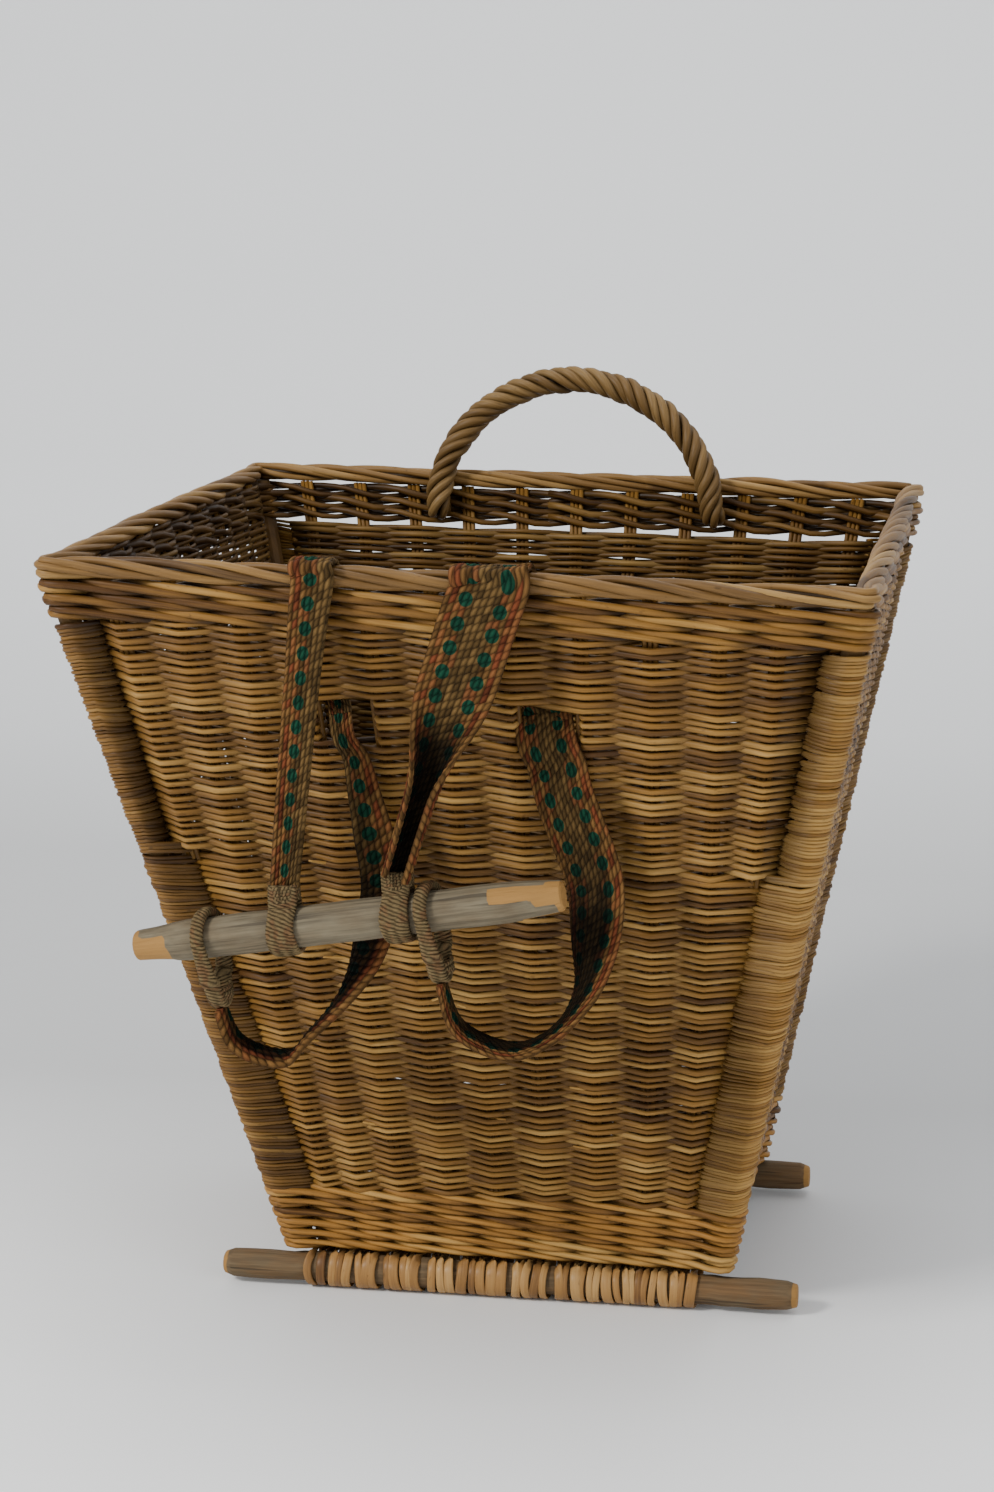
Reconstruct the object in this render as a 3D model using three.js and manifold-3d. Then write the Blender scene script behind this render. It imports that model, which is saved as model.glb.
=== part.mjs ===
// A carrying basket of woven willow: four flared walls between corner posts, a waled foot and
// rim, a roped bow handle, two runners lashed under the base, and two webbing straps that hang
// over the rim and are held together by a toggle stick.
// Millimetres, +Z up. The strapped front wall looks along -Y. The origin is on the ground, under
// the middle of the bounding box.
import * as THREE from "three";
import { mergeVertices } from "three/addons/utils/BufferGeometryUtils.js";
import Module from "manifold-3d";

const wasm = await Module();
wasm.setup();

// Fits
const CLEAR = 0.3; // between neighbouring pieces
const SLIDE_CLEAR = 0.8; // round the stick, inside a loop that slides on it

// Basket, measured between the axes of the corner posts
const baseLength = 279;
const baseDepth = 198;
const rimLength = 480;
const rimDepth = 444;
const rimShiftRight = 3; // the rim's middle, from above the middle of the base
const rimShiftForward = 21.5; // the front wall leans out further than the back wall
const wallHeight = 480; // from the underside of the base to the top of the border
const rimLean = 7; // the left end of the rim stands this much above its middle
const postRadius = 7;
const postSides = 10;

// Weave of the walls
const ridgeHalf = 5.6; // from the wall's middle to a rod where it passes over a stake
const dipHalf = 1.7; // to its outer face where the rod passes behind the stake
const bayHalf = 3.6; // and to its faces between two stakes
const courseHeight = 8; // one modelled course stands for three rods
const stakeHalfWidth = 4.5; // a stake is two or three thin rods side by side
const stakeHalfDepth = 2.2;
const shoulderShare = 0.82; // thickness of a ridge at its shoulders
const stakeRoot = 9; // how deep a stake's bare top reaches into the weave below it
const frontStakeBaseShares = [0.05, 0.1, 0.18, 0.27, 0.38, 0.49, 0.6, 0.71, 0.82, 0.91, 0.955];
const frontStakeRimShares = [0.065, 0.15, 0.23, 0.31, 0.395, 0.48, 0.57, 0.66, 0.745, 0.83, 0.905];
const addedStakeHeight = 290; // the front wall's outermost stakes start at this height
const addedStakeRise = 30; // and their ridge grows to its full thickness over this height
const backStakes = 11;
const sideStakes = 10;
const evenBaseEdgeShare = 0.05; // place of the outermost stake, from the post, at the base
const evenRimEdgeShare = 0.075; // and at the rim

// Waling: heavier rods at the foot and under the border
const footWaleRows = 6;
const footWalePitch = 8;
const rimWaleRows = 3;
const rimWalePitch = 8;
const waleHalf = 6.2; // half its thickness across a rod
const waleGrooveHalf = 5; // and between two rods
const openRow = 4; // bare stakes between the weave and the waling
const openRowUnderBorder = 2;

// Border of thick rods laid round the rim
const borderHalfWidth = 7;
const borderHalfHeight = 7;
const borderLobes = 3;
const borderLobeDepthShare = 0.14;
const borderTurns = 5; // turns of the lay along one side
const borderFootShare = 0.88; // the border sits flat on the stakes at this share of its half height

// Slots in the front wall, one bay wide
const slotHeight = 28;
const slotDrop = 83; // from the top of the border to the top of the slots
const slotJamb = 2.5; // from the middle of a stake to the edge of the slot
const slotBays = [3, 6]; // each slot lies between this stake and the next

// Base
const baseStickRadius = 6;
const baseRidgeHalf = 5;
const baseBayHalf = 3.4;
const baseSticks = 5;

// Runners and their lashings
const runnerRadius = 10;
const runnerEndRadius = 8;
const runnerChamfer = 5;
const runnerSpacing = 208;
// How far each runner and lashing reaches, left and right of the middle of the base
const frontRunnerLeft = 191.6;
const frontRunnerRight = 191.5;
const rearRunnerLeft = 186;
const rearRunnerRight = 180;
const lashingLeft = 132;
const lashingRight = 131;
const runnerBend = 1.4;
const runnerSides = 10;
const caneWidth = 4.6;
const caneThickness = 2.4;
const lashingLoops = 20;

// Roped bow handle
const handleRise = 87; // from the middle of its feet to the middle of the rope at the top
const handleBays = [2, 7]; // its feet pass through these bays of the back wall
const ropeRadius = 8.8;
const ropeFootRadius = 6.6;
const ropeStrands = 5;
const ropeStrandDepthShare = 0.16;
const ropeTurns = 4;
const footHoleShare = 1.28; // the hole round a foot is wider than the foot by this share
const footStub = 3; // how far a foot stands out behind the wall
const footFlare = 16; // length of the bend between the bow and its foot

// Toggle stick
const toggleLength = 264;
const toggleRadius = 12.3;
const toggleEndRadius = 9.6;
const toggleTaper = 27;
const toggleDrop = 209; // from the middle of the rim to the middle of the stick
const toggleLeft = 60.5; // its middle, from the middle of the base
const toggleTiltShare = 0.153; // rise over run, to the right
const toggleSides = 10;

// Straps
const webbing = 3; // thickness
const slotWebbingWidth = 31;
const foldedThickness = 6.4;
const eyeWidth = 17;
const eyeThickness = 3.6;
const eyeNeck = 11;
const loopWidth = 13;
const loopThickness = 4.6;
const loopLength = 61;
const knuckleDrop = 5; // from the top of the border to where a strap starts to hang free
// The straps on the rim, left and right of the middle of the base, and their widths there
const leftStrapLeft = 72.6;
const rightStrapRight = 31;
const leftRimWidth = 30;
const rightRimWidth = 46;
// Their eyes and loops along the stick, left and right of its middle
const leftEyeLeft = 37.5;
const rightEyeRight = 32.5;
const leftLoopLeft = 86;
const rightLoopRight = 51.5;
// Lowest point of each hanging bight: left or right of the stick's middle, behind it and below it
const leftBightLeft = 45.5;
const rightBightRight = 106.5;
const leftBightBehind = 12.8;
const rightBightBehind = 10.8;
const leftBightDrop = 92.7;
const rightBightDrop = 86.7;
const bightWidth = 32;
const bightBelly = 37; // how far a bight swings sideways on its way down
// Points of a bight: shares of its way down, of its belly, and of its way forward
const bightShares = [
  [0.14, 0.4, 0.1],
  [0.38, 0.93, 0.15],
  [0.62, 1, 0.25],
  [0.86, 0.66, 0.7],
];

// The left strap and then the right one
const rimPlaces = [-leftStrapLeft, rightStrapRight];
const rimWidths = [leftRimWidth, rightRimWidth];
const eyePlaces = [-leftEyeLeft, rightEyeRight];
const loopPlaces = [-leftLoopLeft, rightLoopRight];
const bightPlaces = [-leftBightLeft, rightBightRight];
const bightBehind = [leftBightBehind, rightBightBehind];
const bightDrops = [leftBightDrop, rightBightDrop];

// Heights and levels that follow from the sizes above
const caneHalf = caneThickness / 2;
const lashRadius = runnerRadius + CLEAR + caneHalf;
const runnerHeight = lashRadius + caneHalf;
const baseHeight = runnerHeight + lashRadius + caneHalf + CLEAR;
const footWaleTop = footWaleRows * footWalePitch;
const weaveBottom = footWaleTop + CLEAR;
const borderMiddle = wallHeight - borderHalfHeight;
const borderFoot = borderMiddle - borderHalfHeight * borderFootShare;
const rimWaleTop = borderFoot - openRowUnderBorder;
const rimWaleBottom = rimWaleTop - rimWaleRows * rimWalePitch;
const weaveTop = rimWaleBottom - openRow;
const slotTop = wallHeight - slotDrop;
const slotFloor = slotTop - slotHeight;
const stakeTop = borderFoot - CLEAR;
const strapHalf = webbing / 2;

const vec = (x, y, z) => new THREE.Vector3(x, y, z);
const mix = (a, b, share) => a + (b - a) * share;
const along = (a, b, share) => a.clone().lerp(b, share);
const steps = (count) => Array.from({ length: count + 1 }, (_, i) => i / count);

// Geometry helpers

// A closed body from points and faces, with its faces turned to point out.
function body(points, faces) {
  let volume = 0;
  for (const [a, b, c] of faces) volume += points[a].dot(points[b].clone().cross(points[c]));
  const turned = volume < 0 ? faces.map(([a, b, c]) => [a, c, b]) : faces;
  const geometry = new THREE.BufferGeometry().setFromPoints(points);
  return geometry.setIndex(turned.flat());
}

// A body through rings of points, each ring with as many points, closed at both ends.
function loft(rings) {
  const count = rings[0].length;
  const points = rings.flat();
  const faces = [];
  for (let i = 0; i + 1 < rings.length; i++)
    for (let j = 0; j < count; j++) {
      const k = (j + 1) % count;
      const [a, b] = [i * count + j, i * count + k];
      const [c, d] = [b + count, a + count];
      faces.push([a, b, c], [a, c, d]);
    }
  for (const [ring, start, turn] of [[rings[0], 0, 1], [rings.at(-1), points.length - count, 0]]) {
    const centre = ring.reduce((sum, p) => sum.add(p), vec(0, 0, 0)).divideScalar(count);
    points.push(centre);
    const middle = points.length - 1;
    for (let j = 0; j < count; j++) {
      const [a, b] = [start + j, start + ((j + 1) % count)];
      faces.push(turn ? [middle, b, a] : [middle, a, b]);
    }
  }
  return body(points, faces);
}

// A sheet with thickness: rows of points on its outer face and on its inner face.
function thickSheet(outer, inner) {
  const rows = outer.length;
  const columns = outer[0].length;
  const points = [...outer.flat(), ...inner.flat()];
  const out = (r, c) => r * columns + c;
  const inn = (r, c) => rows * columns + r * columns + c;
  const faces = [];
  const quad = (a, b, c, d) => faces.push([a, b, c], [a, c, d]);
  for (let r = 0; r + 1 < rows; r++)
    for (let c = 0; c + 1 < columns; c++) {
      quad(out(r, c), out(r, c + 1), out(r + 1, c + 1), out(r + 1, c));
      quad(inn(r, c), inn(r + 1, c), inn(r + 1, c + 1), inn(r, c + 1));
    }
  for (let c = 0; c + 1 < columns; c++) {
    quad(out(0, c), inn(0, c), inn(0, c + 1), out(0, c + 1));
    quad(out(rows - 1, c), out(rows - 1, c + 1), inn(rows - 1, c + 1), inn(rows - 1, c));
  }
  for (let r = 0; r + 1 < rows; r++) {
    quad(out(r, 0), out(r + 1, 0), inn(r + 1, 0), inn(r, 0));
    quad(out(r, columns - 1), inn(r, columns - 1), inn(r + 1, columns - 1), out(r + 1, columns - 1));
  }
  return body(points, faces);
}

// Faces between two chains of points that run side by side, by their places along the chains.
function zip(one, other, along) {
  const faces = [];
  let [i, j] = [0, 0];
  while (i + 1 < one.length || j + 1 < other.length) {
    const next = i + 1 < one.length ? one[i + 1][along] : Infinity;
    const rival = j + 1 < other.length ? other[j + 1][along] : Infinity;
    if (next <= rival) faces.push([one[i].index, one[++i].index, other[j].index]);
    else faces.push([one[i].index, other[j + 1].index, other[j++].index]);
  }
  return faces;
}

// A sheet between an outer and an inner face, each with rows and columns of its own. A cell is
// folded along the diagonal that lies deeper, so that each raised point stands by itself.
function sheetBetween(outside, inside) {
  const knots = [...outside.flat(), ...inside.flat()];
  knots.forEach((knot, index) => Object.assign(knot, { index }));
  const faces = [];
  const face = (rows, turned) => {
    for (let r = 0; r + 1 < rows.length; r++)
      for (let c = 0; c + 1 < rows[r].length; c++) {
        const cell = [rows[r][c], rows[r][c + 1], rows[r + 1][c + 1], rows[r + 1][c]];
        const [a, b, d, e] = cell.map((knot) => knot.index);
        const proud = Math.abs(cell[0].out + cell[2].out) > Math.abs(cell[1].out + cell[3].out);
        const halves = proud ? [[a, b, e], [b, d, e]] : [[a, b, d], [a, d, e]];
        faces.push(...halves.map(([f, g, h]) => (turned ? [f, h, g] : [f, g, h])));
      }
  };
  face(outside, false);
  face(inside, true);
  const edge = (rows, c) => rows.map((row) => row.at(c));
  faces.push(...zip(inside[0], outside[0], "distance"));
  faces.push(...zip(outside.at(-1), inside.at(-1), "distance"));
  faces.push(...zip(edge(outside, 0), edge(inside, 0), "height"));
  faces.push(...zip(edge(inside, -1), edge(outside, -1), "height"));
  return body(knots.map((knot) => knot.point), faces);
}

// A ring of points round a place, in the plane of two directions.
function ring(centre, first, second, count, reachOf) {
  return Array.from({ length: count }, (_, j) => {
    const angle = (2 * Math.PI * j) / count;
    const [a, b] = reachOf(angle);
    return centre.clone().addScaledVector(first, a).addScaledVector(second, b);
  });
}

// A flat strap through stations, each with its place, the direction across it and its section.
// A station may give the direction that the strap runs in there, as where it meets another.
function strap(stations) {
  return loft(
    stations.map(({ place, across, width, thickness, heading }, i) => {
      const before = stations[Math.max(i - 1, 0)].place;
      const after = stations[Math.min(i + 1, stations.length - 1)].place;
      const run = heading ?? after.clone().sub(before).normalize();
      const side = across.clone().addScaledVector(run, -across.dot(run)).normalize();
      const face = run.clone().cross(side);
      return [[-1, -1], [1, -1], [1, 1], [-1, 1]].map(([a, b]) =>
        place.clone().addScaledVector(side, (a * width) / 2).addScaledVector(face, (b * thickness) / 2));
    }),
  );
}

function solidOf(geometry) {
  const bare = geometry.clone();
  bare.deleteAttribute("normal");
  bare.deleteAttribute("uv");
  const merged = mergeVertices(bare);
  const vertProperties = new Float32Array(merged.attributes.position.array);
  const triVerts = new Uint32Array(merged.index.array);
  return new wasm.Manifold(new wasm.Mesh({ numProp: 3, vertProperties, triVerts }));
}

function geometryOf(solid) {
  const mesh = solid.getMesh();
  const points = [];
  for (let i = 0; i < mesh.numVert; i++)
    points.push(vec(...mesh.vertProperties.subarray(i * mesh.numProp, i * mesh.numProp + 3)));
  return new THREE.BufferGeometry().setFromPoints(points).setIndex([...mesh.triVerts]);
}

const joined = (geometry, added) =>
  geometryOf(added.reduce((solid, piece) => solid.add(solidOf(piece)), solidOf(geometry)));
const cut = (geometry, tools) =>
  geometryOf(tools.reduce((solid, tool) => solid.subtract(solidOf(tool)), solidOf(geometry)));

// Walls

// A corner post's axis at a height above the underside of the base.
function corner([right, back], height) {
  const foot = vec((right * baseLength) / 2, (back * baseDepth) / 2, baseHeight);
  const head = vec(
    rimShiftRight + (right * rimLength) / 2,
    -rimShiftForward + (back * rimDepth) / 2,
    baseHeight + wallHeight - right * rimLean,
  );
  return along(foot, head, height / wallHeight);
}

const evenShares = (count, edge) =>
  Array.from({ length: count }, (_, i) => mix(edge, 1 - edge, i / (count - 1)));

// Each wall runs from one post to the next, anticlockwise seen from above.
const walls = {
  front: {
    from: [-1, -1],
    to: [1, -1],
    baseShares: frontStakeBaseShares,
    rimShares: frontStakeRimShares,
    addedStakes: true,
  },
  right: {
    from: [1, -1],
    to: [1, 1],
    baseShares: evenShares(sideStakes, evenBaseEdgeShare),
    rimShares: evenShares(sideStakes, evenRimEdgeShare),
  },
  back: {
    from: [1, 1],
    to: [-1, 1],
    baseShares: evenShares(backStakes, evenBaseEdgeShare),
    rimShares: evenShares(backStakes, evenRimEdgeShare),
  },
  left: {
    from: [-1, 1],
    to: [-1, -1],
    baseShares: evenShares(sideStakes, evenBaseEdgeShare),
    rimShares: evenShares(sideStakes, evenRimEdgeShare),
  },
};

// The directions along a wall's rim, up its slope, level out of it, and upright on its rim.
function wallFrame(wall) {
  const low = along(corner(wall.from, 0), corner(wall.to, 0), 1 / 2);
  const high = along(corner(wall.from, wallHeight), corner(wall.to, wallHeight), 1 / 2);
  const side = corner(wall.to, wallHeight).sub(corner(wall.from, wallHeight)).normalize();
  const up = high.sub(low).normalize();
  const out = side.clone().cross(vec(0, 0, 1)).normalize();
  return { side, up, out, upright: out.clone().cross(side) };
}

const wallLength = (wall, height) => corner(wall.from, height).distanceTo(corner(wall.to, height));

// A point of a wall: distance along it from the first post's axis, height, and distance out.
function wallPoint(wall, distance, height, out) {
  const start = corner(wall.from, height);
  const run = corner(wall.to, height).sub(start).normalize();
  return start.addScaledVector(run, distance).addScaledVector(wallFrame(wall).out, out);
}

const stakeAt = (wall, i, height) =>
  mix(wall.baseShares[i], wall.rimShares[i], height / wallHeight) * wallLength(wall, height);

// How far the ridge over a stake has grown at a height.
function ridgeGrowth(wall, i, height) {
  if (!wall.addedStakes || (i > 0 && i < wall.baseShares.length - 1)) return 1;
  return THREE.MathUtils.clamp((height - addedStakeHeight) / addedStakeRise, 0, 1);
}

// A stretch of weave between two heights, from one stake or post to another. A first or last
// that is null means the post at that end. Outside, a course passes over one stake and behind the
// next, and the course above it changes places. Inside, a ridge follows each stake.
function weave(wall, low, high, first, last) {
  const start = first ?? 0;
  const end = last ?? wall.baseShares.length - 1;
  const stakes = wall.baseShares.map((_, i) => i).slice(start, end + 1);
  const endGap = postRadius + CLEAR;
  const fromEdge = (h) => (first === null ? endGap : stakeAt(wall, start, h) - slotJamb);
  const toEdge = (h) => (last === null ? wallLength(wall, h) - endGap : stakeAt(wall, end, h) + slotJamb);

  const courses = Math.max(Math.round((high - low) / courseHeight), 2);
  const outside = steps(courses).map((share, course) => {
    const h = mix(low, high, share);
    const swell = (i) => {
      if (course === 0 || course === courses) return bayHalf;
      const reach = (course + i) % 2 === 0 ? ridgeHalf : dipHalf;
      return mix(bayHalf, reach, ridgeGrowth(wall, i, h));
    };
    const knots = stakes.map((i) => [stakeAt(wall, i, h), swell(i)]);
    return wallRow(wall, h, [[fromEdge(h), bayHalf], ...knots, [toEdge(h), bayHalf]]);
  });

  const growth = wall.addedStakes ? [addedStakeHeight, addedStakeHeight + addedStakeRise] : [];
  const inside = [low, ...growth.filter((h) => h > low && h < high), high].map((h) => {
    const ridge = (i, share) => -mix(bayHalf, ridgeHalf * share, ridgeGrowth(wall, i, h));
    const knots = stakes.flatMap((i) => {
      const at = stakeAt(wall, i, h);
      const shoulder = ridge(i, shoulderShare);
      const bay = i < end ? [[(at + stakeAt(wall, i + 1, h)) / 2, -bayHalf]] : [];
      const before = i > start || first === null ? [[at - stakeHalfWidth, shoulder]] : [];
      const after = i < end || last === null ? [[at + stakeHalfWidth, shoulder]] : [];
      return [...before, [at, ridge(i, 1)], ...after, ...bay];
    });
    return wallRow(wall, h, [[fromEdge(h), -bayHalf], ...knots, [toEdge(h), -bayHalf]]);
  });
  return sheetBetween(outside, inside);
}

// A row of points along a wall at a height: each at a distance along it and a distance out.
const wallRow = (wall, height, knots) =>
  knots.map(([distance, out]) => ({ distance, height, out, point: wallPoint(wall, distance, height, out) }));

// The bare top of a stake, from inside the weave to the foot of the border.
function stakePrism(wall, i, grow) {
  const { side, out } = wallFrame(wall);
  const rings = [weaveTop - stakeRoot, stakeTop].map((h) =>
    ring(wallPoint(wall, stakeAt(wall, i, h), h, 0), side, out, 6, (angle) => [
      (stakeHalfWidth + grow) * Math.cos(angle),
      (stakeHalfDepth + grow) * Math.sin(angle),
    ]));
  return loft(rings);
}

const stakePrisms = (wall, grow) => wall.baseShares.map((_, i) => stakePrism(wall, i, grow));

// Waling between two heights: one round ridge for each row of rods.
function waling(wall, low, rows, pitch) {
  const rise = [0, 1 / 4, 3 / 4];
  const levels = [];
  for (let row = 0; row < rows; row++) rise.forEach((r) => levels.push([low + (row + r) * pitch, r]));
  levels.push([low + rows * pitch, 0]);
  const face = (turn) =>
    levels.map(([h, r]) => {
      const half = r === 0 ? waleGrooveHalf : waleHalf;
      return [postRadius + CLEAR, wallLength(wall, h) - postRadius - CLEAR].map((distance) =>
        wallPoint(wall, distance, h, turn * half));
    });
  return thickSheet(face(1), face(-1));
}

// One side of the border: rods laid together with a twist, mitred at the corners and flat below.
function border(wall) {
  const stations = 14;
  const sides = 12;
  const length = wallLength(wall, borderMiddle);
  const rings = steps(stations).map((share) => {
    const turn = 2 * Math.PI * borderTurns * share;
    return Array.from({ length: sides }, (_, j) => {
      const angle = (2 * Math.PI * j) / sides;
      const lobe = (1 - Math.cos(borderLobes * angle - turn)) / 2;
      const reach = 1 - borderLobeDepthShare * lobe;
      const across = borderHalfWidth * Math.cos(angle) * reach;
      const rise = Math.max(borderHalfHeight * Math.sin(angle) * reach, borderFoot - borderMiddle);
      const distance = mix(CLEAR - across, length - CLEAR + across, share);
      return wallPoint(wall, distance, borderMiddle, across).add(vec(0, 0, rise));
    });
  });
  return loft(rings);
}

function cornerPost(place) {
  const reach = (angle) => [postRadius * Math.cos(angle), postRadius * Math.sin(angle)];
  return loft([0, stakeTop].map((h) => ring(corner(place, h), vec(1, 0, 0), vec(0, 1, 0), postSides, reach)));
}

// Base

const footInside = baseDepth / 2 - waleHalf; // from the middle of the base to the foot waling
const endInside = baseLength / 2 - waleHalf;
const strandRoom = caneThickness + 2 * CLEAR; // room for a strand of lashing between two pieces
const baseStickPlace = footInside - strandRoom - baseStickRadius;
const basketFloor = baseHeight + 2 * baseRidgeHalf;

// The woven bottom: its ridges run along the basket over the bottom sticks.
function bottomWeave() {
  const halfDepth = baseStickPlace - baseStickRadius - strandRoom;
  const bay = (2 * halfDepth) / baseSticks;
  const columns = [];
  for (let i = 0; i < baseSticks; i++)
    for (const [share, half] of [[0, baseBayHalf], [1 / 3, baseRidgeHalf], [2 / 3, baseRidgeHalf]])
      columns.push([(i + share) * bay - halfDepth, half]);
  columns.push([halfDepth, baseBayHalf]);
  const middle = baseHeight + baseRidgeHalf;
  const reach = endInside - CLEAR;
  const face = (turn) =>
    [reach, -reach].map((x) => columns.map(([y, half]) => vec(x, y, middle + turn * half)));
  return thickSheet(face(1), face(-1));
}

function baseStick(back) {
  const reach = endInside - CLEAR;
  const circle = (angle) => [baseStickRadius * Math.cos(angle), baseStickRadius * Math.sin(angle)];
  const height = baseHeight + baseStickRadius;
  const rings = [-reach, reach].map((x) =>
    ring(vec(x, back * baseStickPlace, height), vec(0, 1, 0), vec(0, 0, 1), 10, circle));
  return loft(rings);
}

// A natural stick, a little bent beyond the basket, with chamfered ends.
function runner(left, right, back) {
  const length = left + right;
  const chamfer = runnerChamfer / length;
  const middleShares = [1 / 7, 1 / 2, 6 / 7];
  const stations = [
    [0, runnerEndRadius, runnerBend],
    [chamfer, runnerRadius, runnerBend],
    ...middleShares.map((share) => [share, runnerRadius, 0]),
    [1 - chamfer, runnerRadius, runnerBend],
    [1, runnerEndRadius, runnerBend],
  ];
  const rings = stations.map(([share, radius, bend]) => {
    const middle = vec(mix(-left, right, share), back * (runnerSpacing / 2) - bend, runnerHeight);
    const reach = (angle) => [radius * Math.cos(angle), radius * Math.sin(angle)];
    return ring(middle, vec(0, 1, 0), vec(0, 0, 1), runnerSides, reach);
  });
  return loft(rings);
}

// The corners of an octagon whose flat sides touch a circle, at these eighths of a turn.
function octagonCorners(y, z, radius, eighths) {
  return eighths.map((eighth) => {
    const angle = ((eighth + 1 / 2) * Math.PI) / 4;
    const reach = radius / Math.cos(Math.PI / 8);
    return [y + reach * Math.cos(angle), z + reach * Math.sin(angle)];
  });
}

// Flat cane wound round a runner and, through the gap behind the foot waling, round the base
// stick above it, as one unbroken strand. Each turn lies flat on the ground under the runner.
function lashing(back) {
  const axis = runnerSpacing / 2;
  const stickRadius = baseStickRadius + CLEAR + caneHalf;
  const stickHeight = baseHeight + baseStickRadius;
  const gap = footInside - CLEAR - caneHalf; // middle of the gap behind the foot waling
  const loop = [
    ...octagonCorners(axis, runnerHeight, lashRadius, [4.5, 5, 6, 7, 8, 9]),
    [gap, runnerHeight + lashRadius],
    ...octagonCorners(baseStickPlace, stickHeight, stickRadius, [0, 1, 2, 3, 4]),
  ];
  const count = loop.length;
  const total = count * lashingLoops;
  const inset = caneWidth / 2;
  const at = (i) => {
    const [y, z] = loop[((i % count) + count) % count];
    const x = mix(inset - lashingLeft, lashingRight - inset, i / total);
    return vec(x, back * y, z);
  };
  const upright = (v) => v.setX(0).normalize();
  const corners = [[-1, -1], [1, -1], [1, 1], [-1, 1]];
  const rings = [];
  for (let i = 0; i <= total; i++) {
    const here = at(i);
    const into = upright(here.clone().sub(at(i - 1)));
    const outOf = upright(at(i + 1).sub(here));
    const run = into.add(outOf).normalize();
    const face = vec(1, 0, 0).cross(run);
    const reach = caneHalf / Math.max(run.dot(outOf), 1 / 2);
    rings.push(corners.map(([a, b]) =>
      here.clone().add(vec(a * inset, 0, 0)).addScaledVector(face, b * reach)));
  }
  // The least gap between one turn and the next, measured between the edges of the strand.
  let least = Infinity;
  for (let i = 0; i + count <= total; i++)
    for (let k = i + count - 2; k <= Math.min(i + count + 2, total); k++) {
      const [a, b] = [at(i), at(k)];
      const apart = Math.hypot(a.y - b.y, a.z - b.z);
      if (apart < caneThickness) least = Math.min(least, Math.abs(a.x - b.x) - caneWidth);
    }
  console.log(`${back < 0 ? "front" : "rear"} lashing: least gap to itself ${least.toFixed(2)} mm`);
  return loft(rings);
}

// Handle

// The bow lies inside the back wall, and its feet turn out through the rim waling.
const handleHeight = (rimWaleTop + rimWaleBottom) / 2;
const handleInset = borderHalfWidth + CLEAR + ropeRadius;

function handleFoot(bay, height) {
  return (stakeAt(walls.back, bay, height) + stakeAt(walls.back, bay + 1, height)) / 2;
}

function handlePath() {
  const wall = walls.back;
  const { up } = wallFrame(wall);
  const [near, far] = handleBays.map((bay) => handleFoot(bay, handleHeight));
  const middle = (near + far) / 2;
  const reach = (far - near) / 2;
  const foot = (distance, out) => wallPoint(wall, distance, handleHeight, out);
  const outside = waleHalf + footStub;
  const rise = [1 / 10, 1 / 4, 2 / 5, 1 / 2, 3 / 5, 3 / 4, 9 / 10];
  const bow = rise.map((share) => {
    const angle = Math.PI * share;
    const place = foot(middle - reach * Math.cos(angle), -handleInset);
    return place.addScaledVector(up, handleRise * Math.sin(angle));
  });
  const turned = -handleInset + footFlare / 4;
  const points = [
    foot(near, outside),
    foot(near, 0),
    foot(near, turned),
    ...bow,
    foot(far, turned),
    foot(far, 0),
    foot(far, outside),
  ];
  return new THREE.CatmullRomCurve3(points, false, "centripetal");
}

function handle() {
  const path = handlePath();
  const stations = 44;
  const frames = path.computeFrenetFrames(stations, false);
  const length = path.getLength();
  const sides = 2 * ropeStrands;
  const rings = steps(stations).map((share, i) => {
    const fromEnd = Math.min(share, 1 - share) * length;
    const foot = waleHalf + footStub + handleInset;
    const grown = THREE.MathUtils.smoothstep(fromEnd, foot - footFlare, foot + footFlare);
    const radius = mix(ropeFootRadius, ropeRadius, grown);
    const turn = 2 * Math.PI * ropeTurns * share;
    const reach = (angle) => {
      const lobe = (1 - Math.cos(ropeStrands * angle)) / 2;
      const r = radius * (1 - ropeStrandDepthShare * lobe);
      return [r * Math.cos(angle + turn), r * Math.sin(angle + turn)];
    };
    return ring(path.getPointAt(share), frames.normals[i], frames.binormals[i], sides, reach);
  });
  return loft(rings);
}

// The hole that a foot of the handle passes through in the rim waling.
function footHole(bay) {
  const wall = walls.back;
  const { side, up } = wallFrame(wall);
  const radius = ropeFootRadius * footHoleShare;
  const distance = handleFoot(bay, handleHeight);
  const reach = (angle) => [radius * Math.cos(angle), radius * Math.sin(angle)];
  const rings = [-handleInset, handleInset].map((out) =>
    ring(wallPoint(wall, distance, handleHeight, out), side, up, 10, reach));
  return loft(rings);
}

// Toggle stick, eyes and loops

const strapOut = borderHalfWidth + CLEAR + strapHalf; // a strap's middle, clear of the border
const knuckleHeight = wallHeight - knuckleDrop;
const knucklePoint = (place) => {
  const distance = place + wallLength(walls.front, knuckleHeight) / 2 - rimShiftRight;
  return wallPoint(walls.front, distance, knuckleHeight, strapOut);
};
const toggleRun = vec(1, 0, toggleTiltShare).normalize();
const toggleCentre = vec(-toggleLeft, knucklePoint(0).y, baseHeight + wallHeight - toggleDrop);
const togglePoint = (distance) => toggleCentre.clone().addScaledVector(toggleRun, distance);
const toggleUp = toggleRun.clone().cross(vec(0, 1, 0)).normalize();

function toggleStick() {
  const half = toggleLength / 2;
  const stations = [
    [-half, toggleEndRadius],
    [toggleTaper - half, toggleRadius],
    [0, toggleRadius],
    [half - toggleTaper, toggleRadius],
    [half, toggleEndRadius],
  ];
  const rings = stations.map(([distance, radius]) =>
    ring(togglePoint(distance), vec(0, 1, 0), toggleUp, toggleSides, (angle) => [
      radius * Math.cos(angle),
      radius * Math.sin(angle),
    ]));
  return loft(rings);
}

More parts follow.
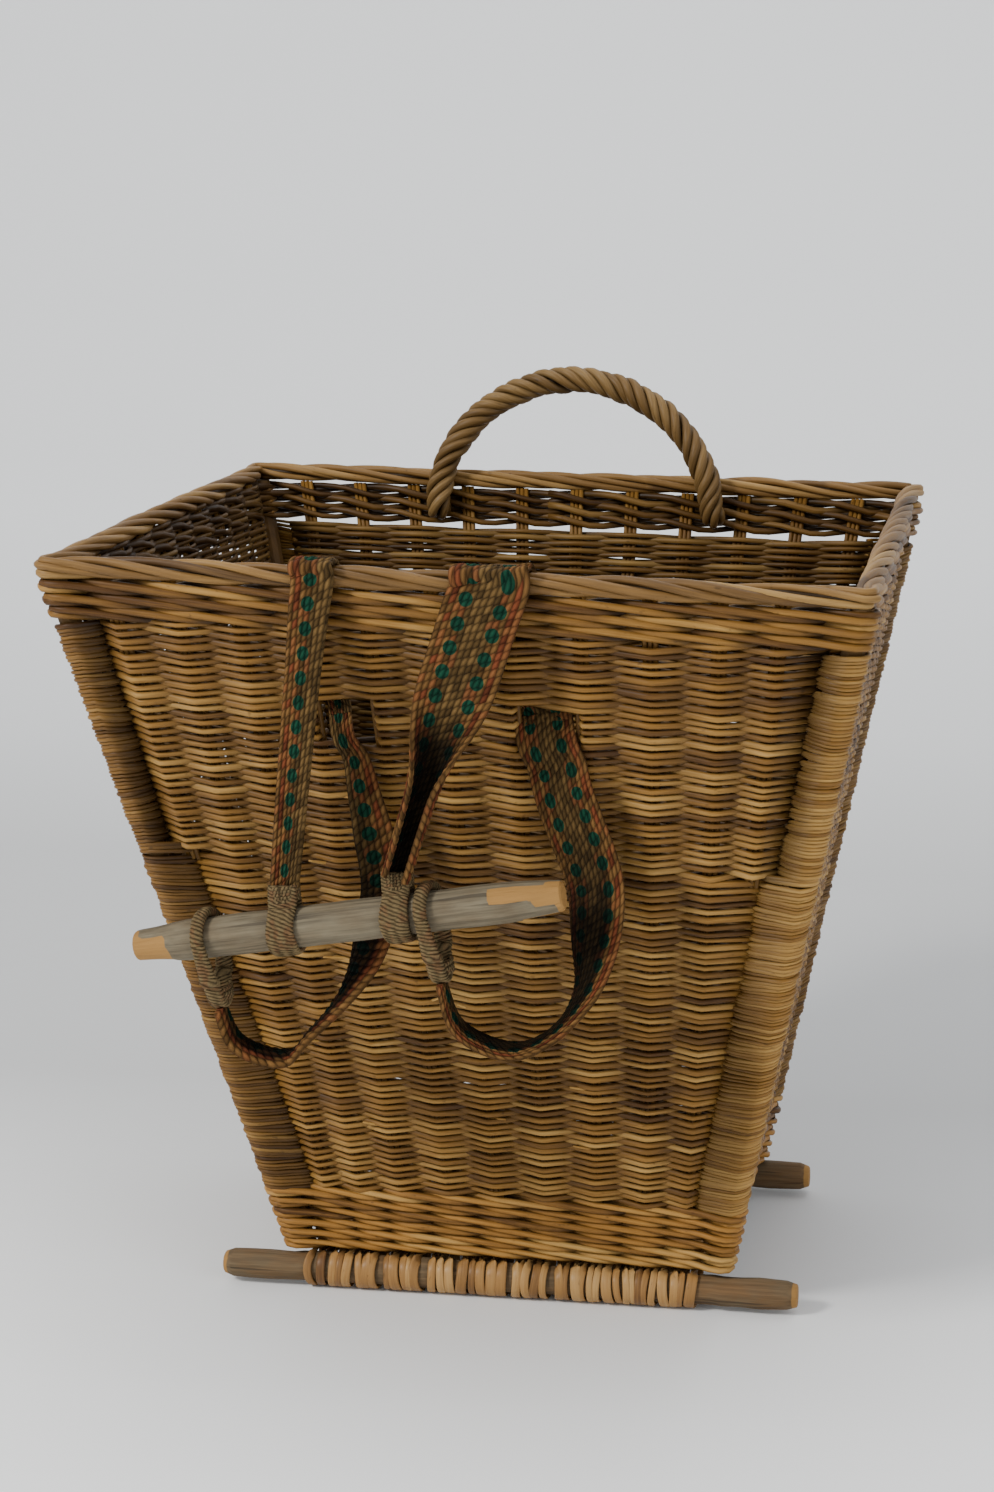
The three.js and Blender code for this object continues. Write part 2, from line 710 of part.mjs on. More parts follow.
// A flat outline with a hole, extruded along the stick and centred at a place on it.
function bandOnStick(outline, distance, width) {
  const geometry = new THREE.ExtrudeGeometry(outline, { depth: width, bevelEnabled: false, curveSegments: 8 });
  geometry.translate(0, 0, -width / 2);
  const forward = vec(0, -1, 0);
  const turn = new THREE.Matrix4().makeBasis(forward, toggleUp, toggleRun);
  if (turn.determinant() < 0) turn.makeBasis(forward.negate(), toggleUp, toggleRun);
  turn.setPosition(togglePoint(distance));
  return geometry.applyMatrix4(turn);
}

const eyeBore = toggleRadius + CLEAR;
const eyeReach = eyeBore + eyeThickness;
const eyeTop = eyeReach + eyeNeck;

// The end of a strap, turned round the stick and sewn back to itself above it.
function eye(distance) {
  const outline = new THREE.Shape();
  const neck = foldedThickness;
  const start = Math.acos(neck / eyeReach);
  outline.absarc(0, 0, eyeReach, start, Math.PI - start, true);
  outline.lineTo(-neck, eyeTop);
  outline.lineTo(neck, eyeTop);
  outline.closePath();
  outline.holes.push(new THREE.Path().absarc(0, 0, eyeBore, 0, 2 * Math.PI, false));
  return bandOnStick(outline, distance, eyeWidth);
}

const loopBore = toggleRadius + SLIDE_CLEAR;
const loopReach = loopBore + loopThickness;

// A long loop that hangs on the stick and slips off over its end.
function slipLoop(distance) {
  const drop = loopLength - 2 * loopReach;
  const outline = new THREE.Shape();
  outline.absarc(0, 0, loopReach, 0, Math.PI, false);
  outline.absarc(0, -drop, loopReach, Math.PI, 2 * Math.PI, false);
  outline.closePath();
  const hole = new THREE.Path();
  hole.absarc(0, 0, loopBore, 0, Math.PI, false);
  hole.absarc(0, -drop, loopBore, Math.PI, 2 * Math.PI, false);
  hole.closePath();
  outline.holes.push(hole);
  return bandOnStick(outline, distance, loopWidth);
}

// Straps

// The middle of a slot, along the front wall at a height.
const slotMiddle = (bay, height) =>
  (stakeAt(walls.front, bay, height) + stakeAt(walls.front, bay + 1, height)) / 2;
const slotRun = slotFloor + webbing; // a strap's middle where it lies on the floor of its slot
const slotExit = ridgeHalf + webbing;
const down = vec(0, 0, -1);

// Where a strap leaves its slot and hangs free, and where its bight turns back up.
function exitOf(which) {
  const height = slotRun - slotWebbingWidth / 3;
  return wallPoint(walls.front, slotMiddle(slotBays[which], slotRun), height, slotExit + webbing);
}

const bightOf = (which) =>
  toggleCentre.clone().add(vec(bightPlaces[which], bightBehind[which], -bightDrops[which]));

function stationsOf(points, across, widths, thicknesses, headings, count) {
  const path = new THREE.CatmullRomCurve3(points, false, "centripetal");
  return steps(count).map((share, i) => ({
    place: path.getPointAt(share),
    across: along(across[0], across[1], THREE.MathUtils.smoothstep(share, 0, 1)).normalize(),
    width: mix(widths[0], widths[1], share),
    thickness: mix(thicknesses[0], thicknesses[1], share),
    heading: { 0: headings[0], [count]: headings[1] }[i],
  }));
}

// The strap over the border, down inside the wall and out through its slot.
function strapOverRim(which) {
  const wall = walls.front;
  const { side, upright } = wallFrame(wall);
  const slot = slotMiddle(slotBays[which], slotRun);
  const rim = rimPlaces[which] + wallLength(wall, knuckleHeight) / 2 - rimShiftRight;
  const top = wallHeight + CLEAR + strapHalf;
  const shoulder = borderHalfWidth / 2;
  const inside = -strapOut;
  const path = [
    [0, knuckleHeight + strapHalf + CLEAR, strapOut, upright],
    [0, wallHeight, strapOut],
    [0, top, shoulder],
    [0, top, -shoulder],
    [0, wallHeight, inside, upright.clone().negate()],
    [1 / 3, rimWaleTop, inside],
    [1, slotTop, inside],
    [1, slotRun + slotHeight / 3, inside],
    [1, slotRun + webbing, inside + strapHalf / 2],
    [1, slotRun + strapHalf / 2, -bayHalf - strapHalf],
    [1, slotRun, 0],
    [1, slotRun, slotExit - strapHalf],
  ];
  const stations = path.map(([share, height, offset, heading], i) => ({
    place: wallPoint(wall, mix(rim, slot, share), height, offset),
    across: side,
    width: mix(rimWidths[which], slotWebbingWidth, Math.min(share + i / path.length, 1)),
    thickness: webbing,
    heading,
  }));
  const exit = { place: exitOf(which), across: side, width: slotWebbingWidth, thickness: webbing };
  return strap([...stations, { ...exit, heading: down }]);
}

// The part that hangs from the rim's edge to the eye. Its top is rounded about the line that it
// swings on.
function strapHanging(which) {
  const top = knucklePoint(rimPlaces[which]);
  const bottom = togglePoint(eyePlaces[which]).addScaledVector(toggleUp, eyeTop + CLEAR);
  const { side, upright } = wallFrame(walls.front);
  const hang = upright.negate();
  const half = rimWidths[which] / 2;
  const strip = stationsOf(
    [top, along(top, bottom, 1 / 2), bottom],
    [side, toggleRun],
    [2 * half, eyeWidth],
    [webbing, foldedThickness],
    [hang, toggleUp.clone().negate()],
    8,
  );
  const circle = (angle) => [strapHalf * Math.cos(angle), strapHalf * Math.sin(angle)];
  const knuckle = [-half, half].map((distance) =>
    ring(top.clone().addScaledVector(side, distance), vec(0, 1, 0), hang, 8, circle));
  return joined(strap(strip), [loft(knuckle)]);
}

// The free bight of a strap, from its slot down to its lowest point.
function strapLower(which) {
  const { side } = wallFrame(walls.front);
  const start = exitOf(which).addScaledVector(down, CLEAR);
  const low = bightOf(which).add(vec(CLEAR / 2, 0, 0));
  const points = bightShares.map(([share, sideways, forward]) =>
    vec(
      mix(start.x, low.x, share) + sideways * bightBelly,
      mix(start.y, low.y, forward),
      mix(start.z, low.z, share),
    ));
  return strap(
    stationsOf(
      [start, ...points, low],
      [side, vec(0, -1, 0)],
      [slotWebbingWidth, bightWidth],
      [webbing, webbing],
      [down, vec(-1, 0, 0)],
      14,
    ),
  );
}

// The end of the bight, from its lowest point up to its loop.
function strapTail(which) {
  const start = bightOf(which).sub(vec(CLEAR / 2, 0, 0));
  const drop = loopLength - loopReach + CLEAR;
  const end = togglePoint(loopPlaces[which]).addScaledVector(toggleUp, -drop);
  const swing = vec(end.x - start.x, 0, 0).multiplyScalar(1 / 4);
  const belly = along(start, end, 1 / 2).add(swing).add(vec(0, 0, -bightWidth / 4));
  return strap(
    stationsOf(
      [start, belly, end],
      [vec(0, -1, 0), toggleRun],
      [bightWidth, loopWidth],
      [webbing, foldedThickness],
      [vec(-1, 0, 0), toggleUp],
      8,
    ),
  );
}

// Materials
const finish = (color, roughness, flatShading = false) =>
  new THREE.MeshStandardMaterial({ color, roughness, metalness: 0, flatShading });
const willow = finish("#9a6a33", 0.55);
const wovenWillow = finish("#9a6a33", 0.55, true); // each fold of the weave catches the light
const darkWillow = finish("#7b5228", 0.6);
const borderWillow = finish("#8b6a42", 0.6);
const cane = finish("#b08a55", 0.6);
const barkStick = finish("#7a6248", 0.8);
const greyStick = finish("#8d877c", 0.75);
const webbingCloth = finish("#6b4a2b", 0.95);

const basket = new THREE.Group();
function add(name, geometry, material) {
  const mesh = new THREE.Mesh(geometry, material);
  mesh.name = name;
  basket.add(mesh);
}

// Front wall, woven in bands so that the two slots are left open between stakes
const [leftSlot, rightSlot] = slotBays;
add("front_weave_lower", weave(walls.front, weaveBottom, slotFloor, null, null), wovenWillow);
const slotLow = slotFloor + CLEAR;
add("front_weave_slot_left", weave(walls.front, slotLow, slotTop, null, leftSlot), wovenWillow);
add("front_weave_slot_middle", weave(walls.front, slotLow, slotTop, leftSlot + 1, rightSlot), wovenWillow);
add("front_weave_slot_right", weave(walls.front, slotLow, slotTop, rightSlot + 1, null), wovenWillow);
const frontUpper = weave(walls.front, slotTop + CLEAR, weaveTop, null, null);
add("front_weave_upper", joined(frontUpper, stakePrisms(walls.front, 0)), wovenWillow);
for (const name of ["right", "back", "left"]) {
  const wall = walls[name];
  const panel = weave(wall, weaveBottom, weaveTop, null, null);
  add(`${name}_weave`, joined(panel, stakePrisms(wall, 0)), wovenWillow);
}
for (const [name, wall] of Object.entries(walls)) {
  add(`${name}_foot_waling`, waling(wall, 0, footWaleRows, footWalePitch), darkWillow);
  const holes = stakePrisms(wall, CLEAR);
  if (name === "back") holes.push(...handleBays.map(footHole));
  add(`${name}_rim_waling`, cut(waling(wall, rimWaleBottom, rimWaleRows, rimWalePitch), holes), darkWillow);
  add(`${name}_border`, border(wall), borderWillow);
}
for (const [name, place] of [
  ["front_left", walls.front.from],
  ["front_right", walls.right.from],
  ["back_right", walls.back.from],
  ["back_left", walls.left.from],
])
  add(`${name}_post`, cornerPost(place), willow);

add("bottom_weave", bottomWeave(), darkWillow);
for (const [name, back, left, right] of [
  ["front", -1, frontRunnerLeft, frontRunnerRight],
  ["rear", 1, rearRunnerLeft, rearRunnerRight],
]) {
  add(`${name}_base_stick`, baseStick(back), darkWillow);
  add(`${name}_runner`, runner(left, right, back), barkStick);
  add(`${name}_lashing`, lashing(back), cane);
}
add("bow_handle", handle(), darkWillow);

add("toggle_stick", toggleStick(), greyStick);
["left", "right"].forEach((name, which) => {
  add(`${name}_strap_over_rim`, strapOverRim(which), webbingCloth);
  add(`${name}_strap_hanging`, strapHanging(which), webbingCloth);
  add(`${name}_strap_lower`, strapLower(which), webbingCloth);
  add(`${name}_strap_tail`, strapTail(which), webbingCloth);
  add(`${name}_eye`, eye(eyePlaces[which]), webbingCloth);
  add(`${name}_slip_loop`, slipLoop(loopPlaces[which]), webbingCloth);
});

// The origin, under the middle of the basket and on the ground
const bounds = new THREE.Box3().setFromObject(basket);
const middle = bounds.getCenter(vec(0, 0, 0));
basket.position.set(-middle.x, -middle.y, -bounds.min.z);

export default basket;
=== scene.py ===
import math

import bpy
import numpy as np
from mathutils import Matrix, Vector

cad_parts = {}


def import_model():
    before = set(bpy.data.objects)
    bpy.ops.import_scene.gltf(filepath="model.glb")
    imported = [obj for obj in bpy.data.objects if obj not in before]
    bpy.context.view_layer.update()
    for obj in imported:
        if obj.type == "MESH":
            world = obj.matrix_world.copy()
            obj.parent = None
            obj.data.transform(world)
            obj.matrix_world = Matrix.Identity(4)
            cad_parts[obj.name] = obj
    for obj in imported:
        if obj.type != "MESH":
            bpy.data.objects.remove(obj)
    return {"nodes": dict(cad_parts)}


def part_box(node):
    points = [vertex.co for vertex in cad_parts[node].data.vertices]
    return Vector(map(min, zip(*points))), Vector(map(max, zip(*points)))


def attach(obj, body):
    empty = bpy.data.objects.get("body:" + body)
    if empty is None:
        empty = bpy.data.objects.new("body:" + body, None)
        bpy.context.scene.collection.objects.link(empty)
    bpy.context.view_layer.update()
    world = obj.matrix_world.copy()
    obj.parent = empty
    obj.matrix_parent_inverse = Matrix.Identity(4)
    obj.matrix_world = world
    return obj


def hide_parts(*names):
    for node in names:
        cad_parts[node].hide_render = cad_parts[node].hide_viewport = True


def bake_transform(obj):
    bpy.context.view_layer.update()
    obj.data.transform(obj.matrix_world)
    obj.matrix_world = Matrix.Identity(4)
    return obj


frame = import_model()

bl_info = {
    "name": "Willow Carrier Basket",
    "version": (1, 0, 0),
    "blender": (4, 5, 0),
    "location": "View3D > Sidebar > Basket",
    "description": "Weaves a flared willow basket with straps, runners, handle and its finishes",
    "category": "Add Mesh",
}

# Sizes of the basket in millimetres, measured between the axes of the corner posts
MM = 0.001
BASE_LENGTH, BASE_DEPTH = 279.0, 198.0
RIM_LENGTH, RIM_DEPTH = 480.0, 444.0
RIM_SHIFT_X, RIM_SHIFT_Y = 3.0, -21.5
WALL_HEIGHT, RIM_LEAN = 480.0, 7.0
BASE_HEIGHT, RUNNER_HEIGHT, RUNNER_PLACE = 25.7, 12.7, 104.0
POST_RADIUS = 7.0
FOOT_ROWS, FOOT_PITCH = 6, 8.0
RIM_ROWS, RIM_PITCH = 3, 8.0
BORDER_HEIGHT = 473.0
BORDER_FOOT = 466.84
RIM_WALE_LOW = 440.84
WEAVE_LOW, WEAVE_HIGH = 48.3, 436.84
SLOT_LOW, SLOT_HIGH = 369.0, 397.0
SLOT_BAYS = (3, 6)
ADDED_STAKE_HEIGHT = 290.0
FRONT_BASE_SHARES = (0.05, 0.1, 0.18, 0.27, 0.38, 0.49, 0.6, 0.71, 0.82, 0.91, 0.955)
FRONT_RIM_SHARES = (0.065, 0.15, 0.23, 0.31, 0.395, 0.48, 0.57, 0.66, 0.745, 0.83, 0.905)
FLOOR_CENTRE = sum(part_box("bottom_weave"), Vector()) / 2
SHIFT = np.array([FLOOR_CENTRE.x, FLOOR_CENTRE.y, 0.0])
UP, FORWARD = np.array([0.0, 0.0, 1.0]), np.array([0.0, -1.0, 0.0])
rng = np.random.default_rng(7)


def unit(v):
    return v / np.maximum(np.linalg.norm(v, axis=-1, keepdims=True), 1e-9)


def mix(a, b, share):
    return a + (b - a) * share


def smooth(share):
    share = np.clip(share, 0.0, 1.0)
    return share * share * (3.0 - 2.0 * share)


def run_along(path):
    """How far along a path each of its points lies."""
    return np.concatenate([[0.0], np.cumsum(np.linalg.norm(np.diff(path, axis=0), axis=1))])


# Walls


def corner(place, height):
    """The axis of a corner post at a height above the underside of the base."""
    right, back = place
    foot = np.array([right * BASE_LENGTH / 2, back * BASE_DEPTH / 2, BASE_HEIGHT])
    head = np.array([
        RIM_SHIFT_X + right * RIM_LENGTH / 2,
        RIM_SHIFT_Y + back * RIM_DEPTH / 2,
        BASE_HEIGHT + WALL_HEIGHT - right * RIM_LEAN,
    ])
    share = np.asarray(height, float)[..., None] / WALL_HEIGHT
    return foot + share * (head - foot)


class Wall:
    """One wall, from one post to the next, anticlockwise seen from above."""

    def __init__(self, name, start, end, base_shares, rim_shares, added=False):
        self.name, self.start, self.end = name, start, end
        self.base_shares, self.rim_shares, self.added = base_shares, rim_shares, added
        self.side = unit(corner(end, WALL_HEIGHT) - corner(start, WALL_HEIGHT))
        self.out = unit(np.cross(self.side, UP))

    def length(self, height):
        """From the axis of one post to that of the next."""
        return np.linalg.norm(corner(self.end, height) - corner(self.start, height), axis=-1)

    def point(self, along, height, out):
        """Points by distance from the first post, height above the base and distance outwards."""
        height = np.broadcast_to(np.asarray(height, float), np.shape(along))
        first = corner(self.start, height)
        run = unit(corner(self.end, height) - first)
        return first + run * np.asarray(along)[..., None] + self.out * np.asarray(out)[..., None]

    def place(self, along, height, out):
        return self.point(np.array([along]), height, np.array([out]))[0]

    def stakes(self, height):
        """How far along the wall each stake stands at a height."""
        shares = mix(np.array(self.base_shares), np.array(self.rim_shares), height / WALL_HEIGHT)
        return shares * self.length(height)


def even(count, edge):
    return tuple(np.linspace(edge, 1 - edge, count))


FRONT = Wall("front", (-1, -1), (1, -1), FRONT_BASE_SHARES, FRONT_RIM_SHARES, True)
RIGHT = Wall("right", (1, -1), (1, 1), even(10, 0.05), even(10, 0.075))
BACK = Wall("back", (1, 1), (-1, 1), even(11, 0.05), even(11, 0.075))
LEFT = Wall("left", (-1, 1), (-1, -1), even(10, 0.05), even(10, 0.075))
WALLS = (FRONT, RIGHT, BACK, LEFT)
CORNERS = tuple(zip(WALLS, WALLS[1:] + WALLS[:1]))


# Mesh of rods


class Bundle:
    """Rods gathered into one mesh. Each point keeps its place along and round its rod, the rod's
    tone, and its depth: a painted shade, darker where the point lies deep in the work."""

    def __init__(self):
        self.points, self.quads, self.caps = [], [], []
        self.grain, self.tone, self.depth = [], [], []
        self.count = 0

    def sweep(self, path, outward, half_out, half_up, sides=6, tone=0.5, depth=1.0,
              square=1.0, closed=False, relief=None):
        """A rod along a path. outward is the way that its first half size points."""
        path = np.asarray(path, float)
        number = len(path)
        if closed:
            tangent = np.roll(path, -1, 0) - np.roll(path, 1, 0)
        else:
            tangent = np.gradient(path, axis=0)
        tangent = unit(tangent)
        outward = np.broadcast_to(outward, path.shape)
        normal = unit(outward - tangent * (outward * tangent).sum(1, keepdims=True))
        upward = np.cross(tangent, normal)
        angle = 2 * math.pi * (np.arange(sides) + 0.5) / sides
        cos, sin = np.cos(angle), np.sin(angle)
        across = np.sign(cos) * np.abs(cos) ** square
        rise = np.sign(sin) * np.abs(sin) ** square
        half_out = np.broadcast_to(half_out, number)[:, None] * across
        half_up = np.broadcast_to(half_up, number)[:, None] * rise
        if relief is not None:
            half_out = half_out + relief * cos
            half_up = half_up + relief * sin
        rings = (path[:, None, :] + half_out[..., None] * normal[:, None, :]
                 + half_up[..., None] * upward[:, None, :])
        run = run_along(path)
        start = rng.uniform(0, 900)
        grain = np.stack([
            np.broadcast_to((run + start)[:, None], half_out.shape),
            half_out + start,
            half_up + start,
        ], -1)
        self.points.append(rings.reshape(-1, 3))
        self.grain.append(grain.reshape(-1, 3))
        self.tone.append(over_rings(tone, half_out.shape))
        self.depth.append(over_rings(depth, half_out.shape))
        index = np.arange(number * sides).reshape(number, sides) + self.count
        after = np.roll(index, -1, 1)
        low, high = (index, np.roll(index, -1, 0)) if closed else (index[:-1], index[1:])
        low_next, high_next = (after, np.roll(after, -1, 0)) if closed else (after[:-1], after[1:])
        self.quads.append(np.stack([low, low_next, high_next, high], -1).reshape(-1, 4))
        if not closed:
            self.caps.append(index[0][::-1].tolist())
            self.caps.append(index[-1].tolist())
        self.count += number * sides

    def grid(self, outer, inner, grain, shades):
        """A sheet with thickness, from rows of points on its two faces, each with its painted shade."""
        rows, columns = outer.shape[:2]
        total = rows * columns
        self.points += [outer.reshape(-1, 3), inner.reshape(-1, 3)]
        self.grain += [grain.reshape(-1, 3)] * 2
        self.tone.append(np.full(2 * total, 0.5))
        self.depth += [over_rings(shade, (rows, columns)) for shade in shades]
        front = np.arange(total).reshape(rows, columns) + self.count
        back = front + total

        def faces(a, b, c, d):
            self.quads.append(np.stack([a, b, c, d], -1).reshape(-1, 4))

        faces(front[:-1, :-1], front[:-1, 1:], front[1:, 1:], front[1:, :-1])
        faces(back[:-1, :-1], back[1:, :-1], back[1:, 1:], back[:-1, 1:])
        faces(front[0, :-1], back[0, :-1], back[0, 1:], front[0, 1:])
        faces(front[-1, :-1], front[-1, 1:], back[-1, 1:], back[-1, :-1])
        faces(front[:-1, 0], front[1:, 0], back[1:, 0], back[:-1, 0])
        faces(front[:-1, -1], back[:-1, -1], back[1:, -1], front[1:, -1])
        self.count += 2 * total

    def piece(self, name, material, body, nodes=(), slot=None, ride=True):
        """Make the object, in metres, with its attributes, and say what it replaces and rides on."""
        points = np.concatenate(self.points) * MM + SHIFT
        quads = np.concatenate(self.quads)
        mesh = bpy.data.meshes.new(name)
        mesh.from_pydata(points.tolist(), [], quads.tolist() + self.caps)
        for key, values, kind in (("grain", np.concatenate(self.grain) * MM, "FLOAT_VECTOR"),
                                  ("tone", np.concatenate(self.tone), "FLOAT"),
                                  ("depth", np.concatenate(self.depth), "FLOAT")):
            layer = mesh.attributes.new(key, kind, "POINT")
            field = "vector" if kind == "FLOAT_VECTOR" else "value"
            layer.data.foreach_set(field, values.astype(np.float32).ravel())
        mesh.polygons.foreach_set("use_smooth", np.ones(len(mesh.polygons), bool))
        mesh.update()
        if signed_volume(mesh) < 0:
            mesh.flip_normals()
        obj = bpy.data.objects.new(name, mesh)
        bpy.context.scene.collection.objects.link(obj)
        obj.data.materials.append(material)
        if nodes:
            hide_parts(*nodes)
        if ride:
            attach(obj, body)
        return obj


def over_rings(values, shape):
    """One value, one for each ring or one for each point, spread over all points."""
    values = np.asarray(values, float)
    if values.ndim == 1:
        values = values[:, None]
    return np.broadcast_to(values, shape).ravel()


def painted_shade_round(outer, sides, inner=1.0):
    """Painted shade round a rod: outer on the side that faces out of the basket and the rest of inner on
    the side that faces in, so that what lies in the work is darker from both sides."""
    way = np.cos(2 * math.pi * (np.arange(sides) + 0.5) / sides)
    inward = (1 - outer) * inner
    return np.clip(mix(inward[:, None], outer[:, None], 0.5 + 0.5 * way / way.max()), 0, 1)


def signed_volume(mesh):
    mesh.calc_loop_triangles()
    corners = np.empty(len(mesh.loop_triangles) * 3, np.int32)
    mesh.loop_triangles.foreach_get("vertices", corners)
    place = np.empty(len(mesh.vertices) * 3, np.float32)
    mesh.vertices.foreach_get("co", place)
    a, b, c = place.reshape(-1, 3)[corners.reshape(-1, 3)].transpose(1, 0, 2)
    return float((a * np.cross(b, c)).sum())


def spline(points, count):
    """A smooth curve through points, cut into even steps."""
    points = np.asarray(points, float)
    knots = np.concatenate([[0], np.cumsum(np.linalg.norm(np.diff(points, axis=0), axis=1) ** 0.5)])
    padded = np.concatenate([[2 * points[0] - points[1]], points, [2 * points[-1] - points[-2]]])
    gap = np.diff(knots)
    times = np.concatenate([[knots[0] - gap[0]], knots, [knots[-1] + gap[-1]]])
    fine = []
    for i in range(1, len(padded) - 2):
        p0, p1, p2, p3 = padded[i - 1:i + 3]
        t0, t1, t2, t3 = times[i - 1:i + 3]
        t = np.linspace(t1, t2, 24, endpoint=False)[:, None]
        a1 = (t1 - t) / (t1 - t0) * p0 + (t - t0) / (t1 - t0) * p1
        a2 = (t2 - t) / (t2 - t1) * p1 + (t - t1) / (t2 - t1) * p2
        a3 = (t3 - t) / (t3 - t2) * p2 + (t - t2) / (t3 - t2) * p3
        b1 = (t2 - t) / (t2 - t0) * a1 + (t - t0) / (t2 - t0) * a2
        b2 = (t3 - t) / (t3 - t1) * a2 + (t - t1) / (t3 - t1) * a3
        fine.append((t2 - t) / (t2 - t1) * b1 + (t - t1) / (t2 - t1) * b2)
    fine = np.concatenate(fine + [points[-1:]])
    run = run_along(fine)
    even_run = np.linspace(0, run[-1], count)
    return np.stack([np.interp(even_run, run, fine[:, k]) for k in range(3)], 1)


# Weave

# Painted shade: how light the inner side of the rods of the left and back walls is kept
INNER_SHADE = {"left": 0.22, "back": 0.45}
WEAVE_TOPS = {"front": RIM_WALE_LOW + 2.5, "left": BORDER_FOOT + 1.5}
SWAY, DIP = 5.1, 1.25
BAY_WAVE = ((0.0, 1.0), (0.1, 0.86), (0.5, 0.0), (0.9, -0.86))
JAMB = 4.4
LIT_HEIGHT = 150.0
STAKE_SPACING = 3.1


def crack(wall, at_end, height):
    """How far the rods that wrap a corner post reach into a wall."""
    if wall is FRONT and height > ADDED_STAKE_HEIGHT:
        return 15.0 if at_end else 10.0 + 7.0 * (height - ADDED_STAKE_HEIGHT) / 150.0
    return 24.0 if wall is FRONT else 20.0


def spliced(tone, run, joins, spread, reach=math.inf):
    """The tone along a row, which changes where the next rod is laid in."""
    for join in joins:
        tone = tone + rng.normal(0, spread) * ((run > join) & (run < join + reach))
    return np.clip(tone, 0, 1)


def row_runs(wall, height, stakes):
    """The stretches of a row, which a strap slot divides: the stakes that each passes, and its ends."""
    numbers = list(range(len(stakes)))
    if wall.added and height <= ADDED_STAKE_HEIGHT:
        numbers = numbers[1:-1]
    left_end = crack(wall, False, height) - 2.5
    right_end = wall.length(height) - crack(wall, True, height) + 2.5
    if wall is not FRONT or not SLOT_LOW < height < SLOT_HIGH:
        return [(numbers, left_end, right_end)]
    first, second = SLOT_BAYS
    return [
        (numbers[:first + 1], left_end, stakes[first] + JAMB),
        (numbers[first + 1:second + 1], stakes[first + 1] - JAMB, stakes[second] + JAMB),
        (numbers[second + 1:], stakes[second + 1] - JAMB, right_end),
    ]


def row_wave(row, stakes, numbers, low, high, end_sway):
    """Places along a row, and whether the rod is before (1) or behind (-1) the stakes there."""
    places, sways = [low], [end_sway]
    for i, j in zip(numbers[:-1], numbers[1:]):
        over = 1 if (row + i) % 2 == 0 else -1
        for share, wave in BAY_WAVE:
            places.append(mix(stakes[i], stakes[j], share))
            sways.append(over * wave)
    last = numbers[-1]
    places += [stakes[last], high]
    sways += [1 if (row + last) % 2 == 0 else -1, end_sway]
    return np.array(places), np.array(sways)


def weave_rows(bundle, wall, sizes):
    """Rods woven over one stake and under the next, row on row."""
    pitch, thick = sizes.row_pitch / MM, sizes.weave_rod / MM
    top = WEAVE_TOPS.get(wall.name, WEAVE_HIGH + 1.6)
    drift = rng.uniform(0, 2 * math.pi, 3)
    for row in range(int((top - WEAVE_LOW) / pitch)):
        height = WEAVE_LOW + (row + 0.5) * pitch
        stakes = wall.stakes(height)
        added = wall.added and height > ADDED_STAKE_HEIGHT
        # Painted light: towards the foot of the wall the rods get a lighter tone and weaker painted shade
        lit = 1 - smooth(height / LIT_HEIGHT)
        wander = rng.uniform(0, 2 * math.pi, 3)
        nudge = rng.normal(0, 0.36, len(stakes))
        for numbers, low, high in row_runs(wall, height, stakes):
            places, sways = row_wave(row, stakes, numbers, low, high, -1.0 if added else -0.4)
            loose = (0.46 * np.sin(places / 47 + wander[0] * 0.3 + row * 0.11 + drift[0])
                     + 0.8 * np.sin(places / 66 + row * 0.085 + drift[1])
                     + np.interp(places, stakes, nudge))
            out = (SWAY * sways * (1 + 0.09 * np.sin(places / 37 + wander[1]))
                   + 0.3 * np.sin(places / 9 + wander[2]))
            path = wall.point(places, height - DIP * sways + loose, out)
            size = 1 + 0.12 * np.sin(places / 120 + wander[1]) + rng.uniform(-0.11, 0.14)
            size = size * (1 + 0.14 * (1 - np.abs(sways)))
            tone = spliced(rng.normal(0.5 + 0.3 * lit, 0.2) + 0.1 * np.sin(places / 60 + wander[2]),
                           places, rng.uniform(0, wall.length(height), 2), 0.17)
            # Painted shade: the rods are darkened where they pass behind the stakes, and at ends that lie
            # in the weave
            outer = np.clip(0.5 + 0.2 * lit + 0.55 * sways, 0, 1)
            if not added:
                outer[[0, -1]] = 0.7
            bundle.sweep(path, wall.out, thick * 0.42 * size, thick * 0.5 * size, 6, tone,
                         painted_shade_round(outer, 6, INNER_SHADE.get(wall.name, 1.0)))


def stake_rods(bundle, wall):
    """Each stake is three thin rods side by side, from the foot to the border."""
    for i in range(len(wall.base_shares)):
        added = wall.added and i in (0, len(wall.base_shares) - 1)
        heights = np.linspace(ADDED_STAKE_HEIGHT - 5.0 if added else 2.0, BORDER_FOOT, 14)
        # Painted shade: the stakes are darkened below the rim waling, where they lie in the weave
        shade = np.interp(heights, [425, 442], [0.45, 0.9])
        places = np.array([wall.stakes(h)[i] for h in heights])
        for k in (-1, 0, 1):
            path = wall.point(places + STAKE_SPACING * k, heights, 0.35 * k * np.ones(len(heights)))
            bundle.sweep(path, wall.out, 1.8, 1.7, 6, rng.uniform(0.3, 0.65), shade)


def stray_tips(bundle, wall, count):
    """Thin rod ends that work loose from the weave."""
    for _ in range(count):
        height = rng.uniform(WEAVE_LOW + 20, RIM_WALE_LOW - 15)
        if SLOT_LOW - 12 < height < SLOT_HIGH + 12:
            height -= 60
        stakes = wall.stakes(height)
        place = stakes[rng.integers(2, len(stakes) - 2)] + rng.uniform(-4, 4)
        way = rng.choice((-1.0, 1.0))
        share = np.linspace(0, 1, 7)
        reach = rng.uniform(11, 21)
        path = wall.point(place + way * reach * share, height + rng.uniform(-0.5, 4.5) * share ** 1.5,
                          1.0 + rng.uniform(3.5, 6.0) * share)
        size = mix(1.5, 0.6, share)
        bundle.sweep(path, wall.out, size, size, 6, rng.uniform(0.7, 1.0), 1.0)


